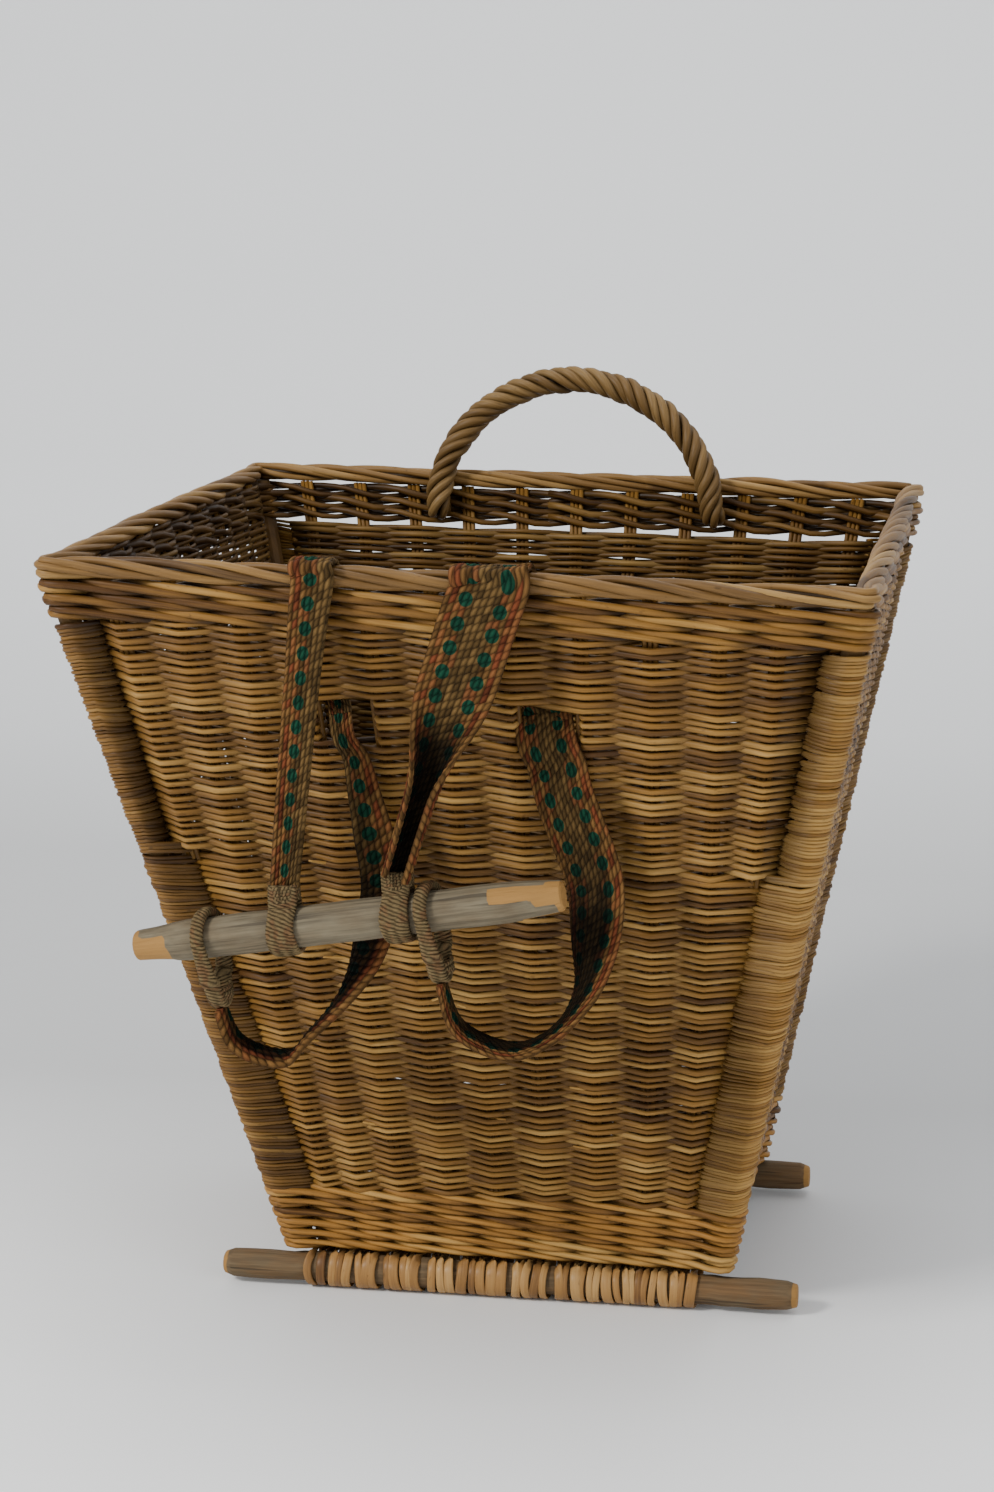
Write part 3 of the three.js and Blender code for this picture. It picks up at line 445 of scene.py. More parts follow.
# A wrapping rod has five places in the first wall, five round the post and five in the next wall
WRAP_SHARES = np.array([0.0, 0.12, 0.3, 0.55, 0.8])
# Painted shade: the wrapping rods darken from the post into the crack in each wall; round the post they are
# lightest at its edge, as a painted highlight
WRAP_SHADES = np.array([0.0, 0.1, 0.2, 0.35, 0.6])
POST_SHARES = (0.0, 0.25, 0.5, 0.75, 1.0)
POST_SHADES = (0.72, 0.92, 1.0, 0.92, 0.72)
WRAP_TAPER = np.array([0.75, 0.9] + [1.0] * 11 + [0.9, 0.75])


def wrap_height(wall, last, turn, half, pitch):
    """The height of the row from which a rod leaves a wall: one that ends behind its last stake."""
    number = len(wall.base_shares) - 1 if last else 0
    if wall.added and WEAVE_LOW + (2 * turn + 1) * pitch < ADDED_STAKE_HEIGHT:
        number += -1 if last else 1
    return WEAVE_LOW + (2 * turn + (number + 1) % 2 + half) * pitch


def wrap_bulge(reach, radius):
    """How far a wrapping rod lies outside the stakes, from its end in the wall to the post."""
    if reach < 19:
        return np.array([-3.6, -1.0, 3.0, 6.2, radius - 0.3])
    return np.array([-2.6, 1.0, 3.6, 5.6, radius - 0.6])


def corner_rods(bundle, before, after, pitch):
    """Rods that wrap the post between two walls: each comes from behind the last stake of one wall,
    in the rows that pass behind it, and goes behind the first stake of the next."""
    rows = int((RIM_WALE_LOW - WEAVE_LOW) / pitch) // 2
    drift = rng.uniform(0, 2 * math.pi, 4)
    # Painted shade on the front left post's wraps (light 0.84, darker tone); the other wraps' lighter tone
    # is partly their colour, partly painted highlight
    mean, light = (0.38, 0.84) if after is FRONT else (0.74, 1.0)
    back = 1 - WRAP_SHARES
    for step in range(2 * rows):
        turn, half = divmod(step, 2)
        leaves = wrap_height(before, True, turn, half, pitch)
        joins = wrap_height(after, False, turn, half, pitch)
        height = (leaves + joins) / 2
        radius = POST_RADIUS + 1.7 + rng.uniform(-0.8, 0.7)
        reach_in = crack(before, True, height - 5.0) + rng.uniform(0, 2.5)
        reach_out = crack(after, False, height - 5.0) + rng.uniform(0, 2.5)
        slant = (1.2 * math.sin(turn * 0.3 + drift[0]) + 0.8 * math.sin(turn * 0.81 + drift[1])
                 + rng.uniform(-1, 1))
        first = before.point(before.length(height) - reach_in * back, leaves - slant * back,
                             wrap_bulge(reach_in, radius))
        second = after.point(reach_out * back[::-1], joins + slant * back[::-1],
                             wrap_bulge(reach_out, radius)[::-1])
        ways = [unit(mix(before.out, after.out, share)) for share in POST_SHARES]
        around = np.array([corner(before.end, height) + radius * way for way in ways])
        around[:, 2] += np.linspace(leaves - height, joins - height, len(ways))
        path = np.concatenate([first, around, second])
        outs = np.concatenate([np.repeat(before.out[None], len(first), 0), ways,
                               np.repeat(after.out[None], len(second), 0)])
        thick = pitch * rng.uniform(0.44, 0.72)
        tone = np.clip(rng.normal(mean, 0.2), 0, 1)
        sunk = mix(0.0 if height > ADDED_STAKE_HEIGHT else 0.3, 0.8, WRAP_SHADES)
        depth = np.concatenate([sunk, POST_SHADES, sunk[::-1]]) * light
        bundle.sweep(path, outs, 1.7, thick * WRAP_TAPER, 8, tone, painted_shade_round(depth, 8))


# Waling and border

WALE_STEPS = np.arange(13) / 4
WALE_DEPTH = np.array([1, 1.08, 1.1, 1.08, 1, 0.6, -0.15, -0.75, -1, -0.75, -0.15, 0.6, 1])
WALE_LIFT = np.array([0.85, 0.62, 0.34, 0.04, -0.28, -0.64, -0.95, -0.8, 0.0, 0.8, 1.02, 1.0, 0.85])
WALE_REACH, WALE_POST_REACH = 4.2, 9.4


def by_post(along, length):
    """1 at the posts at both ends of a wall and 0 away from them."""
    return np.exp(-(np.minimum(along, length - along) / 13.0) ** 2)


def stations(height, added):
    """Quarter bays once round the basket at a height: number, place, way out and how far a rod
    passes outside the line of the stakes."""
    number, places, ways, reach = [], [], [], []
    count = 0
    for wall, following in CORNERS:
        stakes = wall.stakes(height)
        if wall.added and not added:
            stakes = stakes[1:-1]
        length = float(wall.length(height))
        marks = np.concatenate([[0.0], stakes, [length]])
        steps = np.arange(1, 4 * (len(marks) - 1)) / 4
        along = np.interp(steps, np.arange(len(marks)), marks)
        number.append(count + steps)
        places.append(wall.point(along, height, np.zeros(len(along))))
        ways.append(np.repeat(wall.out[None], len(along), 0))
        reach.append(WALE_REACH + 5.0 * by_post(along, length))
        count += len(marks) - 1
        post = corner(wall.end, height)
        for share in (0.1, 0.5, 0.9):
            number.append(np.array([count + 0.2 * (share - 0.5)]))
            places.append(post[None])
            ways.append(unit(mix(wall.out, following.out, share))[None])
            reach.append(np.array([WALE_POST_REACH]))
    number, reach = np.concatenate(number), np.concatenate(reach)
    places, ways = np.concatenate(places), np.concatenate(ways)
    # The rods start and end in the back wall, and overlap there by three stations
    start = int(0.62 * len(number))
    number[:start] += count
    order = np.concatenate([np.arange(start, len(number)), np.arange(start + 3)])
    number, places, ways, reach = number[order], places[order], ways[order], reach[order]
    number[-3:] += count
    return number, places, ways, reach


def waling_row(bundle, height, rod, added, first, mean):
    """Three rods in turn: each passes before two stakes, slanting down, and behind the third."""
    number, places, ways, reach = stations(height, added)
    inner = np.ones(len(ways))
    for wall in (LEFT, BACK):
        inner[ways @ wall.out > 0.8] = INNER_SHADE[wall.name]
    for strand in range(3):
        phase = (number + strand + first) % 3
        depth = np.interp(phase, WALE_STEPS, WALE_DEPTH)
        wander = rng.uniform(0, 6, 3)
        lift = 3.1 * np.interp(phase, WALE_STEPS, WALE_LIFT) + 0.35 * np.sin(number * 0.9 + wander[0])
        path = places + ways * (reach * depth)[:, None] + UP * lift[:, None]
        half = rod / 2 * (1 + 0.1 * np.sin(number / 5 + wander[1]) + rng.uniform(-0.08, 0.06))
        tone = spliced(rng.normal(mean, 0.16) + 0.18 * np.sin(number / 3.1 + wander[2]),
                       number, rng.uniform(number[0], number[-1], 4), 0.16)
        # Painted shade: the rods are darkened where they pass behind the stakes, and on their inner side in
        # the left and back walls
        bundle.sweep(path, ways, half, half, 8, tone,
                     painted_shade_round(np.clip(0.4 + 0.6 * depth, 0, 1), 8, inner))


def girth(height, bulge, step):
    """Places once round the basket at a height, each with the way out, passing outside the posts."""
    points, outs = [], []
    for wall, following in CORNERS:
        length = float(wall.length(height))
        along = np.linspace(0, length, int(length / step))
        points.append(wall.point(along, height, bulge * by_post(along, length)))
        outs.append(np.repeat(wall.out[None], len(along), 0))
        for share in (0.25, 0.5, 0.75):
            way = unit(mix(wall.out, following.out, share))
            points.append((corner(wall.end, height) + bulge * way)[None])
            outs.append(way[None])
    points, outs = np.concatenate(points), np.concatenate(outs)
    start = int(0.6 * len(points))
    points, outs = np.roll(points, -start, 0), np.roll(outs, -start, 0)
    return np.concatenate([points, points[:1]]), np.concatenate([outs, outs[:1]])


def laid_border(bundle, height, rod, strands=5, period=170.0, sway=4.6, rise=4.1):
    """Thick rods laid round the rim side by side with a slow twist."""
    places, outs = girth(height, 3.0, 5.0)
    run = run_along(places)
    turns = round(run[-1] / period)
    once = 2 * math.pi * run / run[-1]
    for strand in range(strands):
        wander = rng.uniform(0, 6, 4)
        angle = turns * once + 2 * math.pi * strand / strands
        angle = angle + 0.24 * np.sin(4 * once + wander[2]) + 0.14 * np.sin(9 * once + wander[3])
        half = rod / 2 * (1 + 0.13 * np.sin(2 * once + wander[0]) + 0.06 * np.sin(11 * once + wander[3]))
        swell = 1 + 0.08 * np.sin(6 * once + wander[3])
        lift = 0.5 * np.sin(7 * once + wander[1]) - rise * swell * np.sin(angle)
        path = places + outs * (sway * swell * np.cos(angle))[:, None] + UP * lift[:, None]
        tone = spliced(rng.normal(0.5, 0.16) + 0.2 * np.sin(3 * once + wander[1]),
                       run, rng.uniform(0, run[-1], 3), 0.17, 400)
        bundle.sweep(path[:-1], outs[:-1], half[:-1], half[:-1], 8, tone[:-1], 1.0, closed=True)
    # A dark core inside the strands, as painted shade in the gaps between them
    bundle.sweep(places[:-1], outs[:-1], sway - 1.2, rise - 1.2, 8, 0.2, 0.1, closed=True)


# Materials


def step(operation, swapped=False):
    """A method of Term that adds one step of arithmetic."""
    def method(self, other=0.0):
        values = (other, self) if swapped else (self, other)
        return self.finish.node("ShaderNodeMath", dict(enumerate(values)), operation=operation)
    return method


class Term:
    """An output of a shader node that takes part in formulas."""

    def __init__(self, finish, socket):
        self.finish, self.socket = finish, socket

    __add__, __mul__, __truediv__, __pow__ = step("ADD"), step("MULTIPLY"), step("DIVIDE"), step("POWER")
    __sub__, __rsub__ = step("SUBTRACT"), step("SUBTRACT", True)
    __lt__, __gt__ = step("LESS_THAN"), step("GREATER_THAN")
    __abs__, fract, floor = step("ABSOLUTE"), step("FRACT"), step("FLOOR")

    def clamped(self):
        """The same term kept between 0 and 1."""
        self.socket.node.use_clamp = True
        return self

    def __getitem__(self, axis):
        return self.finish.node("ShaderNodeSeparateXYZ", {0: self}, axis)


class Finish:
    """A material under way."""

    def __init__(self, name, roughness, specular=0.4, coat=0.0):
        self.material = bpy.data.materials.new(name)
        self.material.use_nodes = True
        self.tree = self.material.node_tree
        self.surface = self.tree.nodes["Principled BSDF"]
        self.feed(self.surface, {"Roughness": roughness, "Specular IOR Level": specular,
                                 "Coat Weight": coat, "Coat Roughness": 0.3})

    def feed(self, made, inputs):
        """Link terms to a node's inputs, or set the inputs' own values; alpha may be left out."""
        for key, value in inputs.items():
            socket = made.inputs[key]
            if isinstance(value, Term):
                self.tree.links.new(value.socket, socket)
            elif isinstance(value, tuple):
                socket.default_value = (*value, 1)[:len(socket.default_value)]
            else:
                socket.default_value = value

    def node(self, kind, inputs, output=0, **settings):
        made = self.tree.nodes.new(kind)
        for key, value in settings.items():
            setattr(made, key, value)
        self.feed(made, inputs)
        return Term(self, made.outputs[output])

    def attribute(self, name, output="Fac"):
        return self.node("ShaderNodeAttribute", {}, output, attribute_name=name)

    def place(self):
        return self.node("ShaderNodeTexCoord", {}, "Object")

    def noise(self, vector, scale=1.0, detail=3.0, roughness=0.55):
        return self.node("ShaderNodeTexNoise", {"Vector": vector, "Scale": scale, "Detail": detail,
                                                "Roughness": roughness}, "Fac")

    def streaks(self, vector, scale, detail, roughness=0.55):
        """Noise that changes faster across the rods than along them."""
        stretched = self.node("ShaderNodeMapping", {"Vector": vector, "Scale": scale})
        return self.noise(stretched, 1.0, detail, roughness)

    def ramp(self, factor, stops, kind="LINEAR"):
        made = self.node("ShaderNodeValToRGB", {0: factor})
        scale = made.socket.node.color_ramp
        scale.interpolation = kind
        while len(scale.elements) < len(stops):
            scale.elements.new(0.5)
        for element, (place, colour) in zip(scale.elements, stops):
            element.position = place
            element.color = (*colour, 1) if isinstance(colour, tuple) else (colour, colour, colour, 1)
        return made

    def blend(self, factor, a, b, kind="MIX"):
        return self.node("ShaderNodeMix", {0: factor, 6: a, 7: b}, 2, data_type="RGBA", blend_type=kind)

    def shaded(self, colour, *shades):
        for shade in shades:
            colour = self.blend(1.0, colour, shade, "MULTIPLY")
        return colour

    def done(self, colour, height=None, strength=0.0, distance=0.0):
        """The material with its colour, and with relief from a height where one is given."""
        self.feed(self.surface, {"Base Color": colour})
        if height:
            relief = {"Height": height, "Strength": strength, "Distance": distance}
            self.feed(self.surface, {"Normal": self.node("ShaderNodeBump", relief)})
        return self.material


def dimmed(colour, share):
    return tuple(share * c for c in colour)


def rod_finish(name, dark, mid, light, coat=0.0, deepest_shade=0.14):
    """Peeled willow: each rod has its own tone, streaks along it, and painted shade where it lies deep."""
    made = Finish(name, 0.5, 0.2, coat)
    grain = made.attribute("grain", "Vector")
    streak = made.streaks(grain, (40, 900, 900), 4.0)
    blotch = made.noise(made.place(), 9.0)
    spot = made.streaks(grain, (160, 300, 300), 2.0)
    tone = streak * 0.5 + made.attribute("tone") * 0.56 + blotch * 0.5 - 0.31
    colour = made.ramp(tone.clamped(), ((0.12, dark), (0.5, mid), (0.88, light)))
    knots = made.ramp(spot, ((0.66, 0.0), (0.76, 1.0)))
    colour = made.blend(knots * 0.5, colour, dimmed(dark, 0.45))
    # Painted shade: the depth attribute darkens the colour, down to the deepest shade.
    colour = made.shaded(colour, made.attribute("depth") * (1 - deepest_shade) + deepest_shade)
    made.feed(made.surface, {"Roughness": streak * 0.3 + 0.36})
    return made.done(colour, streak, 0.35, 0.0005)


def stick_finish(name, grey, brown, cut, split=0.6):
    """A weathered stick: long grain, cracks, and fresh wood where tone says that it was cut."""
    made = Finish(name, 0.75, 0.25)
    grain = made.attribute("grain", "Vector")
    long_grain = made.streaks(grain, (18, 420, 420), 6.0, 0.62)
    patches = made.streaks(grain, (30, 60, 60), 4.0)
    cracks = made.ramp(made.streaks(grain, (9, 300, 300), 2.0, 0.4), ((0.30, 0.0), (0.37, 1.0)))
    weathered = made.blend(made.ramp(patches, ((0.38, 0.0), (0.66, 1.0))), grey, brown)
    weathered = made.shaded(weathered, made.ramp(long_grain, ((0.25, 0.55), (0.75, 1.35))))
    weathered = made.blend(cracks * -split + split, weathered, (0.02, 0.015, 0.01))
    cut_wood = made.blend(long_grain, dimmed(cut, 0.6), cut)
    edge = made.attribute("tone") + (patches * 0.5 - 0.25)
    colour = made.blend(made.ramp(edge, ((0.45, 0.0), (0.55, 1.0))), weathered, cut_wood)
    return made.done(colour, long_grain * cracks, 0.55, 0.0012)


def webbing_finish(name, tan, red, green, ground):
    """Jute webbing of lengthwise chains: a dark ground, red chains by its edges and two rows of
    green stitches."""
    made = Finish(name, 0.92, 0.1)
    grain = made.attribute("grain", "Vector")
    along, across = grain[0], grain[1]
    column = across / (CHAIN * MM)
    chain, side = column.floor(), column.fract() - 0.5
    row = along / (STITCH * MM) + (chain * CHAIN_SHIFT).fract() + side * CHAIN_SLANT
    step_along = row.fract() - 0.5
    height = (1.0 - (abs(step_along) ** 3.0 * 6.0 + abs(side) ** 2.0 * 3.4)).clamped()
    stitch = made.node("ShaderNodeCombineXYZ", {0: row.floor(), 1: chain})
    tone = made.node("ShaderNodeTexWhiteNoise", {"Vector": stitch}, "Value")
    fibre = made.streaks(grain, (700, 2400, 900), 4.0)
    from_middle = abs(chain - 6.0)
    bands = ((0.0, ground), (0.3, dimmed(tan, 0.6)), (0.47, tan), (0.58, red), (0.72, tan))
    colour = made.ramp(from_middle / 8.0, bands, "CONSTANT")
    faded = ((tone * 7.13).fract() < 0.36) * (from_middle > 3.5)
    colour = made.shaded(made.blend(faded, colour, tan), tone * 0.9 + 0.42)
    specks = (tone > 0.7) * (from_middle > 1.5) * 0.6
    colour = made.blend(specks, colour, red)
    dot_along = ((along / (DOT_REPEAT * MM)).fract() - 0.5) / 0.30
    dot_across = (abs(across - 6.5 * CHAIN * MM) - 3.0 * CHAIN * MM) / 0.0041
    dot = abs(dot_across) ** 2.0 + abs(dot_along) ** 2.0 < 1.0
    colour = made.blend(dot, colour, made.blend(tone, dimmed(green, 0.6), green))
    # Painted shade: darker between the stitches, from their height, and where the depth attribute is low;
    # fibre streaks vary the tone
    shade = (height * 0.66 + 0.34) * (fibre * 0.9 + 0.55) * made.attribute("depth")
    return made.done(made.shaded(colour, shade), fibre * 0.3 + height, 0.9, 0.0012)


def twine_finish(name, colour, rust, turn):
    """Frayed twine wound close round a band: one slanting ridge for each turn."""
    made = Finish(name, 0.95, 0.1)
    grain = made.attribute("grain", "Vector")
    wobble = made.streaks(grain, (120, 120, 120), 2.0)
    lean = wobble * 0.0026 + grain[2] * 0.35
    off = abs(((grain[0] + lean) / turn).fract() - 0.5)
    height = 1.0 - off ** 2.0 * 4.0
    fibre = made.streaks(grain, (1500, 500, 500), 5.0, 0.65)
    patch = made.streaks(grain, (110, 160, 160), 2.0)
    ground = made.blend(made.ramp(patch, ((0.5, 0.0), (0.62, 1.0))), colour, rust)
    # Painted shade in the grooves between the turns, from the ridge height; fibre streaks and rust patches
    # vary the tone
    tint = made.shaded(ground, fibre * 1.5 + 0.25, height * 0.75 + 0.25)
    return made.done(tint, fibre * 0.5 + height, 0.9, 0.0009)


def solid_finish(name, colour, roughness):
    """Willow for the frame's own posts and sticks, with grain along their height or length."""
    made = Finish(name, roughness, 0.3)
    grain = made.streaks(made.place(), (60, 300, 60), 4.0)
    tint = made.ramp(grain, ((0.2, dimmed(colour, 0.5)), (0.8, dimmed(colour, 1.2))))
    return made.done(tint, grain, 0.3, 0.0006)


# Straps

TOGGLE_RUN = unit(np.array([1.0, 0.0, 0.153]))
TOGGLE_UP = unit(np.cross(TOGGLE_RUN, -FORWARD))
STRAP_OUT = 8.8
TWINE_TURN = 2.3
CLOTH_WIDTH, CHAIN, STITCH, DOT_REPEAT = 46.0, 46.0 / 13, 5.2, 14.6
CHAIN_SHIFT, CHAIN_SLANT = 0.37, 0.55
KNUCKLE_HEIGHT = 475.0
RIM_PLACES, RIM_WIDTHS = (-73.6, 31.0), (26.0, 46.0)
EYE_PLACES, LOOP_PLACES = (-37.5, 32.5), (-86.0, 51.5)
SLOT_RUN = SLOT_LOW + 3.0
SLOT_ENTRY = ((SLOT_HIGH - 6, -4.6), (SLOT_HIGH - 11, -0.5))
SLOT_WIDTH, EYE_WIDTH, LOOP_WIDTH, BIGHT_WIDTH = 31.0, 17.0, 13.0, 32.0
RIM_PATTERNS, RIM_THICKNESS = ((0.0, 26.0), (0.0, CLOTH_WIDTH)), (3.6, 2.4)
SLOT_PATTERNS = ((24.0, CLOTH_WIDTH), (0.0, CLOTH_WIDTH))
SLOT_SIDE, SLOT_WIDTHS, BIGHT_WIDTHS = (-2.0, 0.0), (14.0, 35.0), (25.0, 36.0)
EXIT_SIDE, EYE_LEAN = (2.5, 3.0), 0.14
EYE_TOP, LOOP_REACH, LOOP_DROP = 27.2, 17.7, 25.6
BIGHT_LOWS = (np.array([-103.0, -238.0, 208.0]), np.array([36.0, -240.0, 219.0]))
BIGHT_SHARES = (
    ((0.12, 0.33, 0.09), (0.26, 0.62, 0.14), (0.44, 0.93, 0.2), (0.565, 0.93, 0.26), (0.69, 0.86, 0.4),
     (0.82, 0.62, 0.6), (0.93, 0.26, 0.85)),
    ((0.09, 0.23, 0.06), (0.205, 0.48, 0.12), (0.32, 0.74, 0.14), (0.44, 0.95, 0.17), (0.66, 1.02, 0.3),
     (0.81, 0.95, 0.5), (0.94, 0.6, 0.8)),
)
BIGHT_BELLY = 37.0
WEBBING_PLACES = np.linspace(-1, 1, 54)


def rim_place(which):
    """How far along the front wall a strap crosses the rim."""
    return RIM_PLACES[which] + FRONT.length(KNUCKLE_HEIGHT) / 2 - RIM_SHIFT_X


def knuckle(which):
    """The middle of a strap where it bends over the front edge of the rim."""
    return FRONT.place(rim_place(which), KNUCKLE_HEIGHT, STRAP_OUT)


TOGGLE_CENTRE = np.array([-60.5, knuckle(0)[1], BASE_HEIGHT + WALL_HEIGHT - 209.0])


def toggle_place(distance):
    """A point on the axis of the toggle stick, from its middle."""
    return TOGGLE_CENTRE + TOGGLE_RUN * distance


def slot_middle(which, height):
    """How far along the front wall the middle of a slot is."""
    stakes = FRONT.stakes(height)
    return (stakes[SLOT_BAYS[which]] + stakes[SLOT_BAYS[which] + 1]) / 2


def slot_exit(which):
    """Where a strap comes out of its slot."""
    return FRONT.place(slot_middle(which, SLOT_RUN), SLOT_RUN - SLOT_WIDTH / 3, 11.6)


def ribbon(bundle, path, across, width, curl, pattern, start_run, thick=2.6, facing=None,
           shades=(1.0, 1.0)):
    """Webbing along a path: chains lie along it, and curl rolls it lengthwise towards its face."""
    number = len(path)
    tangent = unit(np.gradient(path, axis=0))
    across = unit(across - tangent * (across * tangent).sum(1, keepdims=True))
    face = np.cross(across, tangent)
    if facing is not None and (face * facing).sum() < 0:
        face = -face
    run = start_run + run_along(path)
    place = WEBBING_PLACES
    width = np.broadcast_to(width, number)[:, None]
    curl = np.maximum(np.broadcast_to(curl, number)[:, None], 1e-3)
    sideways = width / 2 * np.sin(place * curl) / curl
    forward = width / 2 * (1 - np.cos(place * curl)) / curl
    turn = place * curl
    low, high = pattern
    cloth = mix(low, high, (place + 1) / 2)
    rib = np.abs(np.sin(math.pi * cloth / CHAIN)) ** 0.6
    chain = np.floor(cloth / CHAIN)
    slant = CHAIN_SLANT * (cloth / CHAIN - chain - 0.5)
    stitch = np.cos(2 * math.pi * (run[:, None] / STITCH + (CHAIN_SHIFT * chain + slant)[None] + 0.5))
    edge = np.sqrt(np.clip(1 - np.abs(place) ** 14, 0.04, 1))
    half = (thick / 2) * edge + (0.55 * rib + 0.34 * stitch * rib) * edge
    across, face = across[:, None, :], face[:, None, :]
    normal = np.cos(turn)[..., None] * face - np.sin(turn)[..., None] * across
    middle = path[:, None, :] + sideways[..., None] * across + forward[..., None] * face
    outer = middle + half[..., None] * normal
    inner = middle - half[..., None] * normal
    shape = outer.shape[:2]
    grain = np.stack([np.broadcast_to(run[:, None], shape), np.broadcast_to(cloth[None], shape),
                      np.zeros(shape)], -1)
    bundle.grid(outer, inner, grain, shades)
    return run[-1]


def strap_top(which):
    """The middle of a strap where it lies on the border."""
    return FRONT.place(rim_place(which), WALL_HEIGHT + 1.8, -1.0)


def strap_over_rim_path(which):
    """From the middle of the border down the inside and into the slot, with the share of the way
    from rim to slot at each of its points."""
    rim = rim_place(which)
    slot = slot_middle(which, SLOT_RUN) + SLOT_SIDE[which]
    inside = -STRAP_OUT
    stretch = (
        (0, WALL_HEIGHT + 1.6, -4.5), (0, WALL_HEIGHT, inside), (1 / 3, RIM_WALE_LOW + 24, inside),
        (1, SLOT_HIGH + 6, inside), (1, SLOT_HIGH, -7.6), *((1, *place) for place in SLOT_ENTRY),
    )
    points = [strap_top(which)] + [FRONT.place(mix(rim, slot, s), h, out) for s, h, out in stretch]
    return spline(points, 120), np.array([0] + [s for s, _, _ in stretch])


def hanging_path(which):
    """From the middle of the border over its front edge and down to the eye."""
    over = [FRONT.place(rim_place(which), height, out)
            for height, out in ((WALL_HEIGHT + 1.6, 3.5), (WALL_HEIGHT - 0.4, STRAP_OUT - 0.5))]
    start = knuckle(which)
    bottom = toggle_place(EYE_PLACES[which] + EYE_LEAN * EYE_TOP) + TOGGLE_UP * (EYE_TOP - 3.0)
    belly = np.array([0.0, -2.0, 0.0])
    low = [mix(start, bottom, share) + belly * math.sin(math.pi * share)
           for share in (0.12, 0.35, 0.65, 0.88)]
    return spline([strap_top(which), *over, start, *low, bottom], 230)


def bight_path(which):
    """From inside the slot down to the lowest point and up to the slip loop, and how many of its
    places come before the lowest."""
    along = slot_middle(which, SLOT_RUN) + SLOT_SIDE[which]
    inside = [FRONT.place(along, height, out)
              for height, out in (*SLOT_ENTRY, (SLOT_RUN + 7, 5.4), (SLOT_RUN, 9.6))]
    start = slot_exit(which)
    low = BIGHT_LOWS[which]
    inside[-1] = inside[-1] + FRONT.side * EXIT_SIDE[which] / 3
    points = inside + [start + FRONT.side * EXIT_SIDE[which]]
    for share, sideways, forward in BIGHT_SHARES[which]:
        points.append(np.array([
            mix(start[0], low[0], share) + sideways * BIGHT_BELLY,
            mix(start[1], low[1], forward),
            mix(start[2], low[2], share),
        ]))
    end = toggle_place(LOOP_PLACES[which]) - TOGGLE_UP * (61 - LOOP_REACH - 2.0)
    swing = np.array([(end[0] - low[0]) / 4, 0, -BIGHT_WIDTH / 4])
    path = spline(points + [low, (low + end) / 2 + swing, end], 290)
    return path, int(np.argmin(np.linalg.norm(path - low, axis=1)))


# Sizes and colours that a user may change


def size_of(name, description, default):
    return bpy.props.FloatProperty(name=name, description=description, default=default, unit="LENGTH")


def colour_of(name, description, default):
    return bpy.props.FloatVectorProperty(
        name=name, description=description, default=default, size=3, subtype="COLOR")


class BasketSizes(bpy.types.PropertyGroup):
    weave_rod: size_of("Weaving rod", "Thickness of the rods of the walls", 0.0036)
    row_pitch: size_of("Row height", "Height of one woven row", 0.0024)
    waling_rod: size_of("Waling rod", "Thickness of the rods at the foot and under the border", 0.0044)
    border_rod: size_of("Border rod", "Thickness of the rods of the border", 0.0050)
    handle_rod: size_of("Handle rod", "Thickness of the rods of the handle", 0.0068)
    cane_width: size_of("Cane width", "Width of the cane that lashes the runners", 0.0055)


class BasketColours(bpy.types.PropertyGroup):
    willow_dark: colour_of("Dark willow", "Darkest willow of the walls", (0.066, 0.027, 0.005))
    willow_mid: colour_of("Willow", "Usual willow of the walls", (0.222, 0.107, 0.020))
    willow_light: colour_of("Light willow", "Lightest willow of the walls", (0.45, 0.265, 0.075))
    border_mid: colour_of("Border willow", "Greyer willow of the border", (0.195, 0.104, 0.030))
    cane: colour_of("Cane", "Cane of the lashings", (0.306, 0.158, 0.047))
    stick_grey: colour_of("Weathered wood", "Grey of the toggle stick", (0.156, 0.130, 0.084))
    stick_brown: colour_of("Bark", "Brown of the runners", (0.134, 0.075, 0.031))
    fresh_cut: colour_of("Cut wood", "Wood of whittled ends", (0.38, 0.20, 0.056))
    jute: colour_of("Jute", "Tan chains of the webbing", (0.20, 0.10, 0.031))
    stitch_red: colour_of("Red stitches", "Stitches by the edges of the webbing", (0.155, 0.043, 0.017))
    jute_ground: colour_of("Dark jute", "Ground along the middle of the webbing", (0.12, 0.070, 0.024))
    twine: colour_of("Twine", "Twine that binds the eyes and slip loops", (0.150, 0.106, 0.050))
    stitch_green: colour_of("Green stitches", "Rows of stitches on the webbing", (0.008, 0.055, 0.030))


def sizes_of(context):
    return context.scene.basket_sizes


